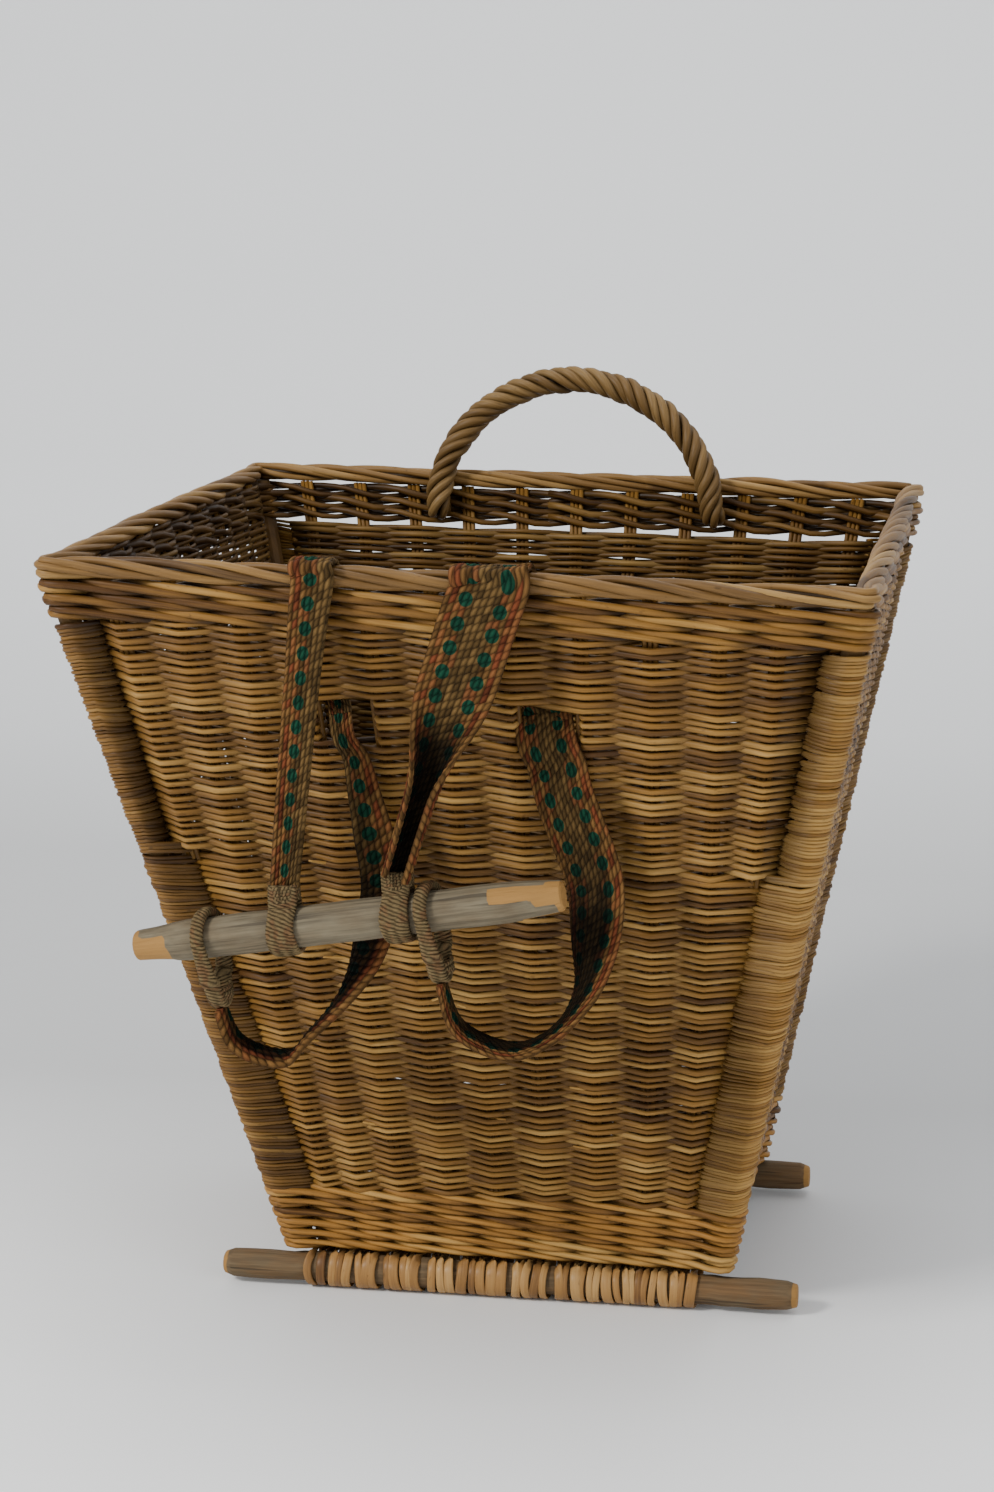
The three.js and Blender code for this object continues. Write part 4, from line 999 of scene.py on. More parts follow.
FINISHES = {
    "woven_willow": lambda kind, c: rod_finish(kind, c["willow_dark"], c["willow_mid"], c["willow_light"]),
    "waling_willow": lambda kind, c: rod_finish(
        kind, c["willow_dark"], tuple(np.multiply(c["willow_mid"], (1.45, 1.4, 1.45))), c["willow_light"]),
    "border_willow": lambda kind, c: rod_finish(
        kind, (0.062, 0.031, 0.010), c["border_mid"], (0.40, 0.25, 0.086)),
    "handle_willow": lambda kind, c: rod_finish(
        kind, (0.04, 0.02, 0.006), (0.15, 0.085, 0.027), (0.32, 0.205, 0.08)),
    "flat_cane": lambda kind, c: rod_finish(
        kind, (0.11, 0.05, 0.016), c["cane"], (0.48, 0.295, 0.11), 0.1, 0.2),
    "grey_wood": lambda kind, c: stick_finish(
        kind, c["stick_grey"], (0.125, 0.095, 0.056), c["fresh_cut"]),
    "bark_wood": lambda kind, c: stick_finish(
        kind, (0.122, 0.084, 0.044), c["stick_brown"], c["fresh_cut"]),
    "jute_webbing": lambda kind, c: webbing_finish(
        kind, c["jute"], c["stitch_red"], c["stitch_green"], c["jute_ground"]),
    "wound_twine": lambda kind, c: twine_finish(kind, c["twine"], (0.15, 0.085, 0.04), TWINE_TURN * MM),
    "plain_willow": lambda kind, c: solid_finish(kind, dimmed(c["willow_mid"], 0.4), 0.7),
}


def finish(context, kind):
    """The material of that kind, made once."""
    if kind in bpy.data.materials:
        return bpy.data.materials[kind]
    group = context.scene.basket_colours
    colours = {name: tuple(getattr(group, name)) for name in BasketColours.__annotations__}
    return FINISHES[kind](kind, colours)


# Operators: one for each piece or group of like pieces

BOTTOM_LEVEL, BOTTOM_STICKS, BOTTOM_PITCH = 5.0, 5, 4.4
LASHING_ENDS, OPEN_GAPS = 22.0, 9
HANDLE_INSET, HANDLE_END, HANDLE_RISE = 16.1, 9.2, 95.0
HANDLE_STRANDS, HANDLE_TURNS, HANDLE_RADIUS = 5, 6.6, 6.1
TOGGLE_HALF, TOGGLE_SIDES = 132.0, 14


class BASKET_OT_walls(bpy.types.Operator):
    """Weave the four walls and set their stakes"""
    bl_idname = "basket.walls"
    bl_label = "Woven Walls"

    def execute(self, context):
        bands = ("front_weave_lower", "front_weave_slot_left", "front_weave_slot_middle",
                 "front_weave_slot_right", "front_weave_upper")
        for wall in WALLS:
            rods = Bundle()
            weave_rows(rods, wall, sizes_of(context))
            stake_rods(rods, wall)
            stray_tips(rods, wall, 14)
            nodes = bands if wall is FRONT else (f"{wall.name}_weave",)
            rods.piece(f"{wall.name}_wall_rods", finish(context, "woven_willow"), "basket", nodes,
                       "willow_weave")
        return {"FINISHED"}


class BASKET_OT_corners(bpy.types.Operator):
    """Wrap the corner posts with rods"""
    bl_idname = "basket.corners"
    bl_label = "Wrapped Corners"

    def execute(self, context):
        names = ("front_right", "back_right", "back_left", "front_left")
        for name, (before, after) in zip(names, CORNERS):
            rods = Bundle()
            corner_rods(rods, before, after, sizes_of(context).row_pitch / MM)
            rods.piece(f"{name}_corner_rods", finish(context, "woven_willow"), "basket",
                       slot="willow_weave")
        return {"FINISHED"}


class BASKET_OT_waling(bpy.types.Operator):
    """Lay the waling at the foot and under the border"""
    bl_idname = "basket.waling"
    bl_label = "Waling"

    def execute(self, context):
        rod = sizes_of(context).waling_rod / MM
        for name, low, rows, pitch, size, tone, kind in (
                ("foot", 0.0, FOOT_ROWS, FOOT_PITCH, 0.96, 0.5, "waling_willow"),
                ("rim", RIM_WALE_LOW, RIM_ROWS, RIM_PITCH, 1.08, 0.27, "woven_willow")):
            rods = Bundle()
            for row in range(rows):
                waling_row(rods, low + (row + 0.5) * pitch, rod * size, name == "rim", row % 2, tone)
            nodes = [f"{wall.name}_{name}_waling" for wall in WALLS]
            rods.piece(f"{name}_waling_rods", finish(context, kind), "basket", nodes,
                       "willow_waling")
        return {"FINISHED"}


class BASKET_OT_border(bpy.types.Operator):
    """Lay the thick rods of the border"""
    bl_idname = "basket.border"
    bl_label = "Border"

    def execute(self, context):
        rods = Bundle()
        laid_border(rods, BORDER_HEIGHT, sizes_of(context).border_rod / MM)
        nodes = [f"{wall.name}_border" for wall in WALLS]
        rods.piece("border_rods", finish(context, "border_willow"), "basket", nodes, "willow_border")
        return {"FINISHED"}


class BASKET_OT_floor(bpy.types.Operator):
    """Weave the bottom of the basket over its sticks"""
    bl_idname = "basket.bottom"
    bl_label = "Woven Bottom"

    def execute(self, context):
        rods = Bundle()
        low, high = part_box("bottom_weave")
        reach_x, reach_y = (high.x - low.x) / 2 / MM, (high.y - low.y) / 2 / MM
        level = BASE_HEIGHT + BOTTOM_LEVEL
        bay = 2 * reach_y / BOTTOM_STICKS
        for i in range(BOTTOM_STICKS):
            y = (i + 0.5) * bay - reach_y
            x = np.linspace(-1, 1, 20) * (reach_x + 5.0)
            path = np.stack([x, np.full(20, y), np.full(20, level)], 1)
            # Painted shade: the bottom's sticks (depth 0.6) and weavers (depth 0.55) are darkened
            rods.sweep(path, UP, 2.0, 4.2, 8, rng.uniform(0.3, 0.7), 0.6)
        count = int(2 * (reach_x + 4.0) / BOTTOM_PITCH)
        across = np.linspace(-reach_y, reach_y, 4 * BOTTOM_STICKS + 1)
        for k in range(count):
            x = mix(-reach_x - 2.0, reach_x + 2.0, k / (count - 1))
            wave = np.sin(math.pi * (across + reach_y) / bay) * (1 if k % 2 else -1)
            path = np.stack([np.full(len(across), x), across, level + 3.0 * wave], 1)
            rods.sweep(path, UP, 1.6, 2.0, 6, np.clip(rng.normal(0.45, 0.18), 0, 1), 0.55)
        rods.piece("bottom_rods", finish(context, "waling_willow"), "basket", ("bottom_weave",),
                   "willow_waling")
        return {"FINISHED"}


class BASKET_OT_runners(bpy.types.Operator):
    """Cut the two runners from natural sticks"""
    bl_idname = "basket.runners"
    bl_label = "Runners"

    def execute(self, context):
        for name, back in (("front", -1), ("rear", 1)):
            low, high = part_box(f"{name}_runner")
            left, right = (low.x - SHIFT[0]) / MM, (high.x - SHIFT[0]) / MM
            run = np.concatenate([[0.0, 0.0015, 0.018], np.linspace(0.05, 0.95, 60), [0.982, 0.9985, 1.0]])
            radius = np.interp(run, [0, 0.0015, 0.018, 0.06, 0.5, 0.94, 0.982, 0.9985, 1],
                               [6.4, 7.4, 9.3, 10, 9.7, 10, 9.3, 7.4, 6.4])
            radius = radius + 0.25 * np.sin(run * 41) + 0.15 * np.sin(run * 97 + back)
            bend = np.where((run < 0.14) | (run > 0.86), 1.4, 0.0)
            path = np.stack([mix(left, right, run), back * RUNNER_PLACE - bend,
                             np.full(len(run), RUNNER_HEIGHT)], 1)
            fresh = np.where((run < 0.003) | (run > 0.997), 0.9, 0.0)
            stick = Bundle()
            stick.sweep(path, UP, radius, radius, 14, fresh)
            stick.piece(f"{name}_runner_stick", finish(context, "bark_wood"), "basket",
                        (f"{name}_runner",), "bark_stick")
        return {"FINISHED"}


class BASKET_OT_lashings(bpy.types.Operator):
    """Wind flat cane round each runner and the stick above it"""
    bl_idname = "basket.lashings"
    bl_label = "Lashings"

    def execute(self, context):
        wide = sizes_of(context).cane_width / MM
        for name, back in (("front", -1), ("rear", 1)):
            low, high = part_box(f"{name}_lashing")
            left, right = (low.x - SHIFT[0]) / MM, (high.x - SHIFT[0]) / MM
            cane = Bundle()
            strips = int((right - left - LASHING_ENDS) / (wide + 0.1))
            widths = wide * rng.uniform(0.7, 1.3, strips)
            widths *= wide * strips / widths.sum()
            gaps = np.full(strips, 0.1)
            open_gaps = rng.choice(strips, OPEN_GAPS, replace=False)
            gaps[open_gaps] += rng.uniform(1.2, 3.4, OPEN_GAPS)
            gaps *= (right - left - widths.sum() - 0.5) / gaps.sum()
            x = left
            for strip in range(strips):
                x += widths[strip] / 2
                outline = lashing_outline()
                turn = np.linspace(0, 2 * math.pi, len(outline), endpoint=False)
                place = (x + rng.uniform(-2.4, 2.4) * np.sin(turn)
                         + rng.uniform(-1.3, 1.3) * np.sin(2 * turn))
                path = np.stack([place, back * outline[:, 0], outline[:, 1]], 1)
                away = path - np.array([x, back * 98.0, 24.0])
                away[:, 0] = 0
                tone = np.clip(rng.normal(0.5, 0.24), 0, 1)
                cane.sweep(path, unit(away), rng.uniform(0.8, 1.3), widths[strip] / 2, 8, tone, 1.0,
                           0.45, True)
                x += widths[strip] / 2 + gaps[strip]
            cane.piece(f"{name}_lashing_cane", finish(context, "flat_cane"), "basket",
                       (f"{name}_lashing",), "cane")
        return {"FINISHED"}


def lashing_outline():
    """Middle of a cane strip seen from the end: round the runner, through the gap, round the stick."""
    runner = np.array([RUNNER_PLACE, RUNNER_HEIGHT])
    stick = np.array([83.8, BASE_HEIGHT + 6.0])
    lash, wrap = 11.5, 7.5
    points = []
    for angle in np.radians(np.linspace(225, 430, 14)):
        points.append(runner + lash * np.array([math.cos(angle), math.sin(angle)]))
    points.append(np.array([95.3, RUNNER_HEIGHT + lash]))
    points.append(np.array([91.3, RUNNER_HEIGHT + lash + 2.5]))
    for angle in np.radians(np.linspace(0, 205, 12)):
        points.append(stick + wrap * np.array([math.cos(angle), math.sin(angle)]))
    return np.array(points)


class BASKET_OT_handle(bpy.types.Operator):
    """Twist the rods of the bow handle"""
    bl_idname = "basket.handle"
    bl_label = "Bow Handle"

    def execute(self, context):
        height = RIM_WALE_LOW + 12.0
        stakes = BACK.stakes(height)
        near, far = (stakes[2] + stakes[3]) / 2, (stakes[7] + stakes[8]) / 2
        lean = unit(corner(BACK.start, WALL_HEIGHT) + corner(BACK.end, WALL_HEIGHT)
                    - corner(BACK.start, 0.0) - corner(BACK.end, 0.0))
        middle, reach = (near + far) / 2, (far - near) / 2

        def foot(distance, out):
            return BACK.place(distance, height, out)

        bow = []
        for share in (0.1, 0.25, 0.4, 0.5, 0.6, 0.75, 0.9):
            angle = math.pi * share
            bow.append(foot(middle - reach * math.cos(angle), -HANDLE_INSET)
                       + lean * HANDLE_RISE * math.sin(angle))
        turned = 4.0 - HANDLE_INSET
        points = [foot(near, HANDLE_END), foot(near, 0.0), foot(near, turned), *bow,
                  foot(far, turned), foot(far, 0.0), foot(far, HANDLE_END)]
        path = spline(points, 260)
        run = np.linspace(0, 1, len(path))
        tangent = unit(np.gradient(path, axis=0))
        first = carried(tangent, BACK.out)
        second = np.cross(tangent, first)
        rods = Bundle()
        rod = sizes_of(context).handle_rod / MM
        grown = mix(0.8, 1.0, smooth(np.minimum(run, 1 - run) / 0.12))
        for strand in range(HANDLE_STRANDS):
            wander = rng.uniform(0, 6, 2)
            angle = (2 * math.pi * (HANDLE_TURNS * run + strand / HANDLE_STRANDS)
                     + 0.22 * np.sin(run * 23 + wander[0]))
            radial = np.cos(angle)[:, None] * first + np.sin(angle)[:, None] * second
            radius = (HANDLE_RADIUS + 0.5 * np.sin(run * 31 + wander[1])) * grown
            centre = path + radial * radius[:, None]
            size = rod / 2 * grown * (1 + 0.07 * np.sin(run * 17 + wander[1]) + rng.uniform(-0.05, 0.05))
            tone = np.clip(rng.normal(0.5, 0.16) + 0.15 * np.sin(run * 9 + wander[0]), 0, 1)
            # Painted shade: each strand darkens on its side towards the middle of the handle, and the core
            # between the strands is made dark as painted shade in the gaps
            way = np.cos(2 * math.pi * (np.arange(10) + 0.5) / 10)
            rods.sweep(centre, radial, size, size, 10, tone,
                       np.broadcast_to(np.clip(0.45 + 0.75 * way, 0, 1), (len(path), 10)))
        rods.sweep(path, first, 3.6 * grown, 3.6 * grown, 8, 0.1, 0.1)
        rods.piece("handle_rods", finish(context, "handle_willow"), "basket", ("bow_handle",),
                   "willow_waling")
        return {"FINISHED"}


def carried(tangent, start):
    """Directions square to a path that turn as little as possible, from the one at its middle."""
    made = np.zeros_like(tangent)
    half = len(tangent) // 2
    for order in (range(half, len(tangent)), range(half, -1, -1)):
        way = start
        for i in order:
            way = way - tangent[i] * np.dot(way, tangent[i])
            way = way / np.linalg.norm(way)
            made[i] = way
    return made


class BASKET_OT_toggle(bpy.types.Operator):
    """Whittle the toggle stick"""
    bl_idname = "basket.toggle"
    bl_label = "Toggle Stick"

    def execute(self, context):
        run = [-1, -0.992, -0.9, -0.8, -0.74, -0.5, -0.25, 0, 0.25, 0.5, 0.74, 0.8, 0.9, 0.992, 1.0]
        radius = [8.0, 9.2, 10.2, 11.6, 12.2, 12.3, 12.1, 12.3, 12.2, 12.0, 12.2, 11.7, 10.4, 9.4, 8.2]
        fine = np.unique(np.concatenate([run, np.linspace(-1, 1, 120)]))
        size = np.interp(fine, run, radius) + 0.12 * np.sin(fine * 23)
        path = toggle_place(fine[:, None] * TOGGLE_HALF)
        starts = rng.uniform(0.80, 0.99, (2, TOGGLE_SIDES // 2)).repeat(2, axis=1)
        starts[1, 1:3] = 0.67
        past = np.where(fine[:, None] < 0, -fine[:, None] - starts[0], fine[:, None] - starts[1])
        fresh = np.clip(past * 90, 0, 1)
        stick = Bundle()
        stick.sweep(path, TOGGLE_UP, size, size, TOGGLE_SIDES, fresh, relief=-0.5 * fresh)
        obj = stick.piece("whittled_toggle", finish(context, "grey_wood"), "hanging_straps",
                          ("toggle_stick",), "grey_stick")
        bpy.ops.object.select_all(action="DESELECT")
        bpy.context.view_layer.objects.active = obj
        obj.select_set(True)
        bpy.ops.object.shade_smooth_by_angle(angle=math.radians(25))
        return {"FINISHED"}


def lay_over_rim(which, side, cloth):
    """The stretch from the border down the inside and out through the slot. Returns its length."""
    path, shares = strap_over_rim_path(which)
    place = np.interp(np.linspace(0, 1, len(path)), np.linspace(0, 1, len(shares)), shares)
    across = np.repeat(FRONT.side[None], len(path), 0)
    width = mix(RIM_WIDTHS[which], SLOT_WIDTHS[which], smooth(place))
    # Painted shade: the strap inside the rim is darkened to 0.75 on both faces
    strip = Bundle()
    length = ribbon(strip, path[::-1], across, width[::-1], 0.02, RIM_PATTERNS[which], 0.0,
                    RIM_THICKNESS[which], shades=(0.75, 0.75))
    strip.piece(f"{side}_strap_over_border", cloth, "basket", (f"{side}_strap_over_rim",), "webbing")
    return length


def lay_hanging(which, side, cloth, start_run):
    """The stretch that hangs from the rim to the toggle stick and rolls up towards its eye."""
    path = hanging_path(which)
    share = np.linspace(0, 1, len(path))
    across = mix(FRONT.side[None], TOGGLE_RUN[None], smooth(share)[:, None])
    if which:
        curl = 0.02 + 2.4 * smooth((share - 0.33) / 0.42)
        width = mix(46.0, 34.0, smooth((share - 0.35) / 0.65))
    else:
        curl = 0.02 + 0.5 * smooth((share - 0.55) / 0.4)
        width = np.interp(share, [0.06, 0.35, 1.0], [26.0, 21.5, EYE_WIDTH + 1])
    # Painted shade: where the strap rolls up, the middle of its front face is darkened as the shade in its
    # gutter; its back face is darkened to 0.9
    rolled = smooth((curl[:, None] - 0.5) / 1.2)
    inside = 1 - 0.88 * rolled * (1 - smooth((np.abs(WEBBING_PLACES)[None] - 0.72) / 0.25))
    strip = Bundle()
    ribbon(strip, path, across, width, curl, RIM_PATTERNS[which], start_run, RIM_THICKNESS[which],
           FORWARD, (inside, 0.9))
    hang = strip.piece(f"{side}_strap_down", cloth, "hanging_straps", (f"{side}_strap_hanging",),
                       "webbing", ride=False)
    top = knuckle(which)
    world(top - UP * 26.0)
    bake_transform(hang)


def lay_bight(which, side, cloth):
    """The free bight from the slot to its lowest point, and its end from there to the slip loop."""
    path, low = bight_path(which)
    share = np.clip(np.linspace(0, len(path) / low, len(path)), 0, 2)
    late = smooth((share - 0.42) / 0.58)[:, None]
    across = mix(mix(FRONT.side[None], FORWARD[None], late), TOGGLE_RUN[None],
                 smooth(share - 1)[:, None])
    width = np.interp(share, [0, 0.1, 0.34, 1, 1.35, 2],
                      [SLOT_WIDTHS[which]] * 2 + [BIGHT_WIDTHS[which], 30, 22, LOOP_WIDTH])
    curl = np.interp(share, [0, 0.25, 1, 1.4, 2], [0.02, 0.2, 0.4, 1.1, 1.7])
    # Painted shade: the bight's faces are darkened from the slot to past its lowest point, all but the edge
    # nearest the front
    near_edge = smooth((WEBBING_PLACES[None] - 0.42) / 0.26)
    dark = np.interp(share, [0, 0.3, 0.56, 1.1, 1.35, 2], [0.1, 0.1, 0.84, 0.9, 0.25, 0.05])
    shade = 1 - dark[:, None] * (1 - near_edge)

    def stretch(cut, start_run, name, body, node):
        strip = Bundle()
        run = ribbon(strip, path[cut], across[cut], width[cut], curl[cut], SLOT_PATTERNS[which],
                     start_run, shades=(shade[cut], shade[cut]))
        return run, strip.piece(f"{side}_strap_{name}", cloth, body, (f"{side}_strap_{node}",),
                                "webbing", ride=False)

    run, bight = stretch(slice(0, low + 1), 0.0, "bight", "basket", "lower")
    world(slot_exit(which))
    world(path[low])
    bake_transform(bight)
    run, tail = stretch(slice(low, None), run, "end", "hanging_straps", "tail")
    world(path[low])
    world(path[-1])
    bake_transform(tail)


class BASKET_OT_straps(bpy.types.Operator):
    """Lay the webbing over the rim, down to the toggle stick and round in its bights"""
    bl_idname = "basket.straps"
    bl_label = "Straps"

    def execute(self, context):
        cloth = finish(context, "jute_webbing")
        for which, side in enumerate(("left", "right")):
            lay_hanging(which, side, cloth, lay_over_rim(which, side, cloth))
            lay_bight(which, side, cloth)
        return {"FINISHED"}


def world(point):
    """A place in millimetres on the basket, in the row frame in metres."""
    return tuple(float(v) for v in np.asarray(point) * MM + SHIFT)


def arc(centre, radius, start, end, count, pinch=1.0):
    """Points round the toggle stick, by degrees from the front over the top."""
    return [centre + FORWARD * radius * pinch * math.cos(a) + TOGGLE_UP * radius * math.sin(a)
            for a in np.radians(np.linspace(start, end, count))]


def bind(bundle, centre, level, lean, reach, half, wave, phase, rod):
    """One turn of twine round a band, at a level above the middle of the toggle stick."""
    wrap = np.linspace(0, 2 * math.pi, 40, endpoint=False)[:, None]
    middle = centre + TOGGLE_UP * level
    ring = (middle + TOGGLE_RUN * lean * level + np.cos(wrap) * FORWARD * reach
            + np.sin(wrap) * TOGGLE_RUN * half + np.sin(wrap + phase) * TOGGLE_UP * wave)
    bundle.sweep(ring, unit(ring - middle), rod, rod + 0.15, 8, 0.5, 1.0, 1.0, True)


def bound_eye(which):
    """The end of a strap, sewn round the toggle stick and bound with twine."""
    centre = toggle_place(EYE_PLACES[which])
    front = [centre + FORWARD * 4.2 + TOGGLE_UP * 27.0, centre + FORWARD * 4.4 + TOGGLE_UP * 20.0]
    back = [centre - FORWARD * 4.4 + TOGGLE_UP * 20.0, centre - FORWARD * 4.2 + TOGGLE_UP * 27.0]
    path = spline(front + arc(centre, 14.4, 63, -243, 60) + back, 300)
    path = path + TOGGLE_RUN * (EYE_LEAN * np.maximum((path - centre) @ TOGGLE_UP, 0.0))[:, None]
    ridge = 0.28 * np.cos(2 * math.pi * run_along(path) / TWINE_TURN)
    swell = 1 + 0.05 * np.sin(np.linspace(0, 23, len(path)) + which)
    eye = Bundle()
    eye.sweep(path, unit(path - centre), 2.1 * swell + ridge, EYE_WIDTH / 2 * swell + ridge, 16,
              0.5, 1.0, 0.7)
    for turn in range(5):
        bind(eye, centre, 17.6 + 2.1 * turn, EYE_LEAN, 6.6, EYE_WIDTH / 2 + 0.6, 0.35, turn, 1.0)
    return eye


def bound_loop(which):
    """The long loop at the other end of a strap, which hangs on the toggle stick."""
    centre = toggle_place(LOOP_PLACES[which])
    radius, places = 15.4, 360
    straight = np.linspace(0, LOOP_DROP, 16)[1:-1]
    low = centre - TOGGLE_UP * LOOP_DROP
    points = arc(centre, radius, 0, 180, 40)
    points += [centre - FORWARD * radius - TOGGLE_UP * d for d in straight]
    points += arc(low, radius, 180, 360, 40, 0.72)
    points += [low + FORWARD * radius + TOGGLE_UP * d for d in straight]
    path = spline(points + points[:1], places + 1)[:-1]
    middle = np.clip((path - centre) @ TOGGLE_UP, -LOOP_DROP, 0.0)
    away = unit(path - centre - middle[:, None] * TOGGLE_UP)
    drawn = np.clip(1 + middle / LOOP_DROP, 0, 1)
    path = path - TOGGLE_RUN * ((path - centre) @ FORWARD / radius * 2.6 * drawn)[:, None]
    turns = round(2 * (math.pi * radius + LOOP_DROP) / TWINE_TURN)
    ridge = 0.3 * np.cos(np.linspace(0, 2 * math.pi * turns, places, endpoint=False))
    loop = Bundle()
    loop.sweep(path, away, 2.7 + ridge, mix(5.4, 4.0, smooth(drawn)) + ridge, 16, 0.5, 1.0, 0.85, True)
    for turn in range(4):
        bind(loop, centre, -LOOP_DROP - radius + 3.6 + 2.0 * turn, 0.0, 7.2 + 1.2 * turn, 7.2, 0.7,
             2 * turn, 1.1)
    return loop


class BASKET_OT_loops(bpy.types.Operator):
    """Bind the eyes and slip loops with twine"""
    bl_idname = "basket.loops"
    bl_label = "Eyes and Slip Loops"

    def execute(self, context):
        twine = finish(context, "wound_twine")
        for which, side in enumerate(("left", "right")):
            bound_eye(which).piece(f"{side}_eye_bound", twine, "hanging_straps", (f"{side}_eye",),
                                   "webbing")
            bound_loop(which).piece(f"{side}_loop_bound", twine, f"{side}_loop", (f"{side}_slip_loop",),
                                    "webbing")
        return {"FINISHED"}


class BASKET_OT_frame_finish(bpy.types.Operator):
    """Give the posts and base sticks their willow finish"""
    bl_idname = "basket.frame_finish"
    bl_label = "Posts and Base Sticks"

    def execute(self, context):
        names = [f"{name}_post" for name in ("front_left", "front_right", "back_right", "back_left")]
        for name in names + ["front_base_stick", "rear_base_stick"]:
            obj = frame["nodes"][name]
            obj.data.materials.clear()
            obj.data.materials.append(finish(context, "plain_willow"))
        return {"FINISHED"}


# Painted shade on the paper: darker in a wide band behind the basket, fading out as the paper curves up
PAPER_PAINTED_SHADE = ((0.1, 0.97), (0.19, 0.94), (0.33, 0.53), (0.5, 0.57), (0.66, 0.79), (0.86, 0.98), (1.0, 1.0))
PAPER_CURVE = ((-6.0, 0.0), (-2.0, 0.0), (1.6, 0.0), (2.2, 0.06), (2.6, 0.22), (2.85, 0.48), (3.0, 0.85),
               (3.05, 1.4), (3.05, 5.0))
LAMPS = (
    ("key", (-1.9, -1.9, 2.2), 0.8, 92, (1.0, 0.98, 0.94)),
    ("fill", (2.4, -1.6, 1.4), 1.8, 18, (0.95, 0.97, 1.0)),
    ("top", (0.2, 0.5, 2.8), 1.8, 32, (1.0, 1.0, 1.0)),
)
LAMPS_AIM = Vector((0.0, 0.0, 0.3))
CAMERA_ANGLES = (11.735, 12.704, -1.343)
CAMERA_PLACE = Vector((0.351573, -1.786609, 0.758325))
SENSOR_HEIGHT = 36.0
LENS_TO_HEIGHT = 2800.0 / 1492.0


def set_backdrop(scene):
    """Pale paper that lies under the basket and curves up behind it, with painted shade on the floor behind
    the basket.
    """
    sheet = bpy.data.meshes.new("backdrop")
    points = [(x, y, z) for y, z in PAPER_CURVE for x in (-8.0, 8.0)]
    faces = [(2 * i, 2 * i + 1, 2 * i + 3, 2 * i + 2) for i in range(len(PAPER_CURVE) - 1)]
    sheet.from_pydata(points, [], faces)
    sheet.polygons.foreach_set("use_smooth", [True] * len(faces))
    floor = bpy.data.objects.new("backdrop", sheet)
    scene.collection.objects.link(floor)
    paper = Finish("pale_paper", 0.6, 0.2)
    share = (paper.place()[1] * 0.25 + 0.25).clamped()
    tint = paper.ramp(share, [(at, (0.99 * v, v, 1.005 * v)) for at, v in PAPER_PAINTED_SHADE])
    sheet.materials.append(paper.done(tint))


def set_lights(scene):
    studio = bpy.data.worlds.new("studio")
    studio.use_nodes = True
    background = studio.node_tree.nodes["Background"]
    background.inputs[0].default_value = (0.95, 0.97, 1.0, 1)
    background.inputs[1].default_value = 0.73
    scene.world = studio
    for name, place, size, power, tint in LAMPS:
        lamp = bpy.data.lights.new(name, "AREA")
        lamp.shape, lamp.size, lamp.energy, lamp.color = "DISK", size, power, tint
        light = bpy.data.objects.new(name, lamp)
        light.location = place
        light.rotation_euler = (LAMPS_AIM - Vector(place)).to_track_quat("-Z", "Y").to_euler()
        scene.collection.objects.link(light)


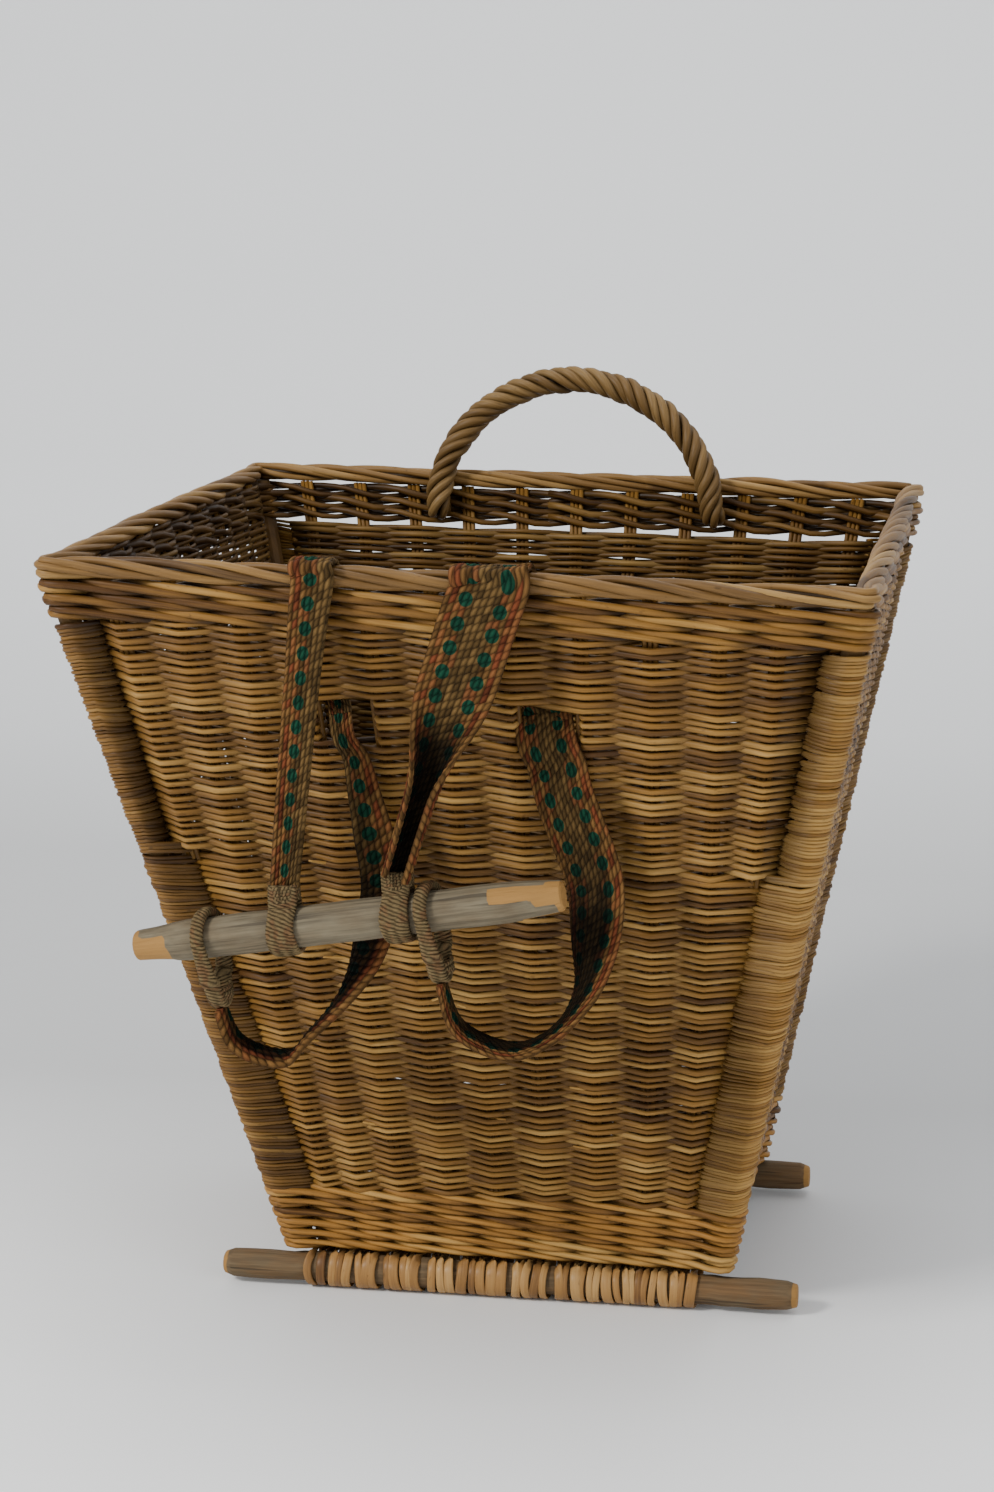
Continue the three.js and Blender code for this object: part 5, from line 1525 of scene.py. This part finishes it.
def set_camera(scene):
    turn, tilt, roll = (math.radians(v) for v in CAMERA_ANGLES)
    back = Vector((math.sin(turn) * math.cos(tilt), -math.cos(turn) * math.cos(tilt), math.sin(tilt)))
    right = Vector((math.cos(turn), math.sin(turn), 0.0))
    up = back.cross(right)
    across = right * math.cos(roll) + up * math.sin(roll)
    upward = up * math.cos(roll) - right * math.sin(roll)
    lens = bpy.data.cameras.new("camera")
    lens.sensor_fit, lens.sensor_height = "VERTICAL", SENSOR_HEIGHT
    lens.lens = SENSOR_HEIGHT * LENS_TO_HEIGHT
    lens.clip_start, lens.clip_end = 0.05, 50.0
    camera = bpy.data.objects.new("camera", lens)
    place = CAMERA_PLACE + Vector(SHIFT)
    camera.matrix_world = Matrix((
        (across.x, upward.x, back.x, place.x),
        (across.y, upward.y, back.y, place.y),
        (across.z, upward.z, back.z, place.z),
        (0, 0, 0, 1)))
    scene.collection.objects.link(camera)
    scene.camera = camera


class BASKET_OT_stage(bpy.types.Operator):
    """Set the pale floor, the soft lights and the camera"""
    bl_idname = "basket.stage"
    bl_label = "Stage"

    def execute(self, context):
        bpy.ops.object.select_all(action="DESELECT")
        set_backdrop(context.scene)
        set_lights(context.scene)
        set_camera(context.scene)
        return {"FINISHED"}


OPERATORS = (
    BASKET_OT_stage,
    BASKET_OT_walls,
    BASKET_OT_corners,
    BASKET_OT_waling,
    BASKET_OT_border,
    BASKET_OT_floor,
    BASKET_OT_runners,
    BASKET_OT_lashings,
    BASKET_OT_handle,
    BASKET_OT_toggle,
    BASKET_OT_straps,
    BASKET_OT_loops,
    BASKET_OT_frame_finish,
)


class BASKET_PT_sidebar(bpy.types.Panel):
    """The basket's sizes, colours and pieces"""
    bl_label = "Willow Basket"
    bl_idname = "BASKET_PT_sidebar"
    bl_space_type = "VIEW_3D"
    bl_region_type = "UI"
    bl_category = "Basket"

    def draw(self, context):
        for group in (context.scene.basket_sizes, context.scene.basket_colours):
            box = self.layout.box()
            for name in group.bl_rna.properties.keys():
                if name not in ("rna_type", "name"):
                    box.prop(group, name)
        for operator in OPERATORS:
            self.layout.operator(operator.bl_idname)


CLASSES = (BasketSizes, BasketColours, *OPERATORS, BASKET_PT_sidebar)


def register():
    for cls in CLASSES:
        bpy.utils.register_class(cls)
    bpy.types.Scene.basket_sizes = bpy.props.PointerProperty(type=BasketSizes)
    bpy.types.Scene.basket_colours = bpy.props.PointerProperty(type=BasketColours)


def unregister():
    del bpy.types.Scene.basket_colours
    del bpy.types.Scene.basket_sizes
    for cls in reversed(CLASSES):
        bpy.utils.unregister_class(cls)


def main():
    register()
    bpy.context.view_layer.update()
    for operator in OPERATORS:
        group, name = operator.bl_idname.split(".")
        getattr(getattr(bpy.ops, group), name)()


if __name__ == "__main__":
    main()
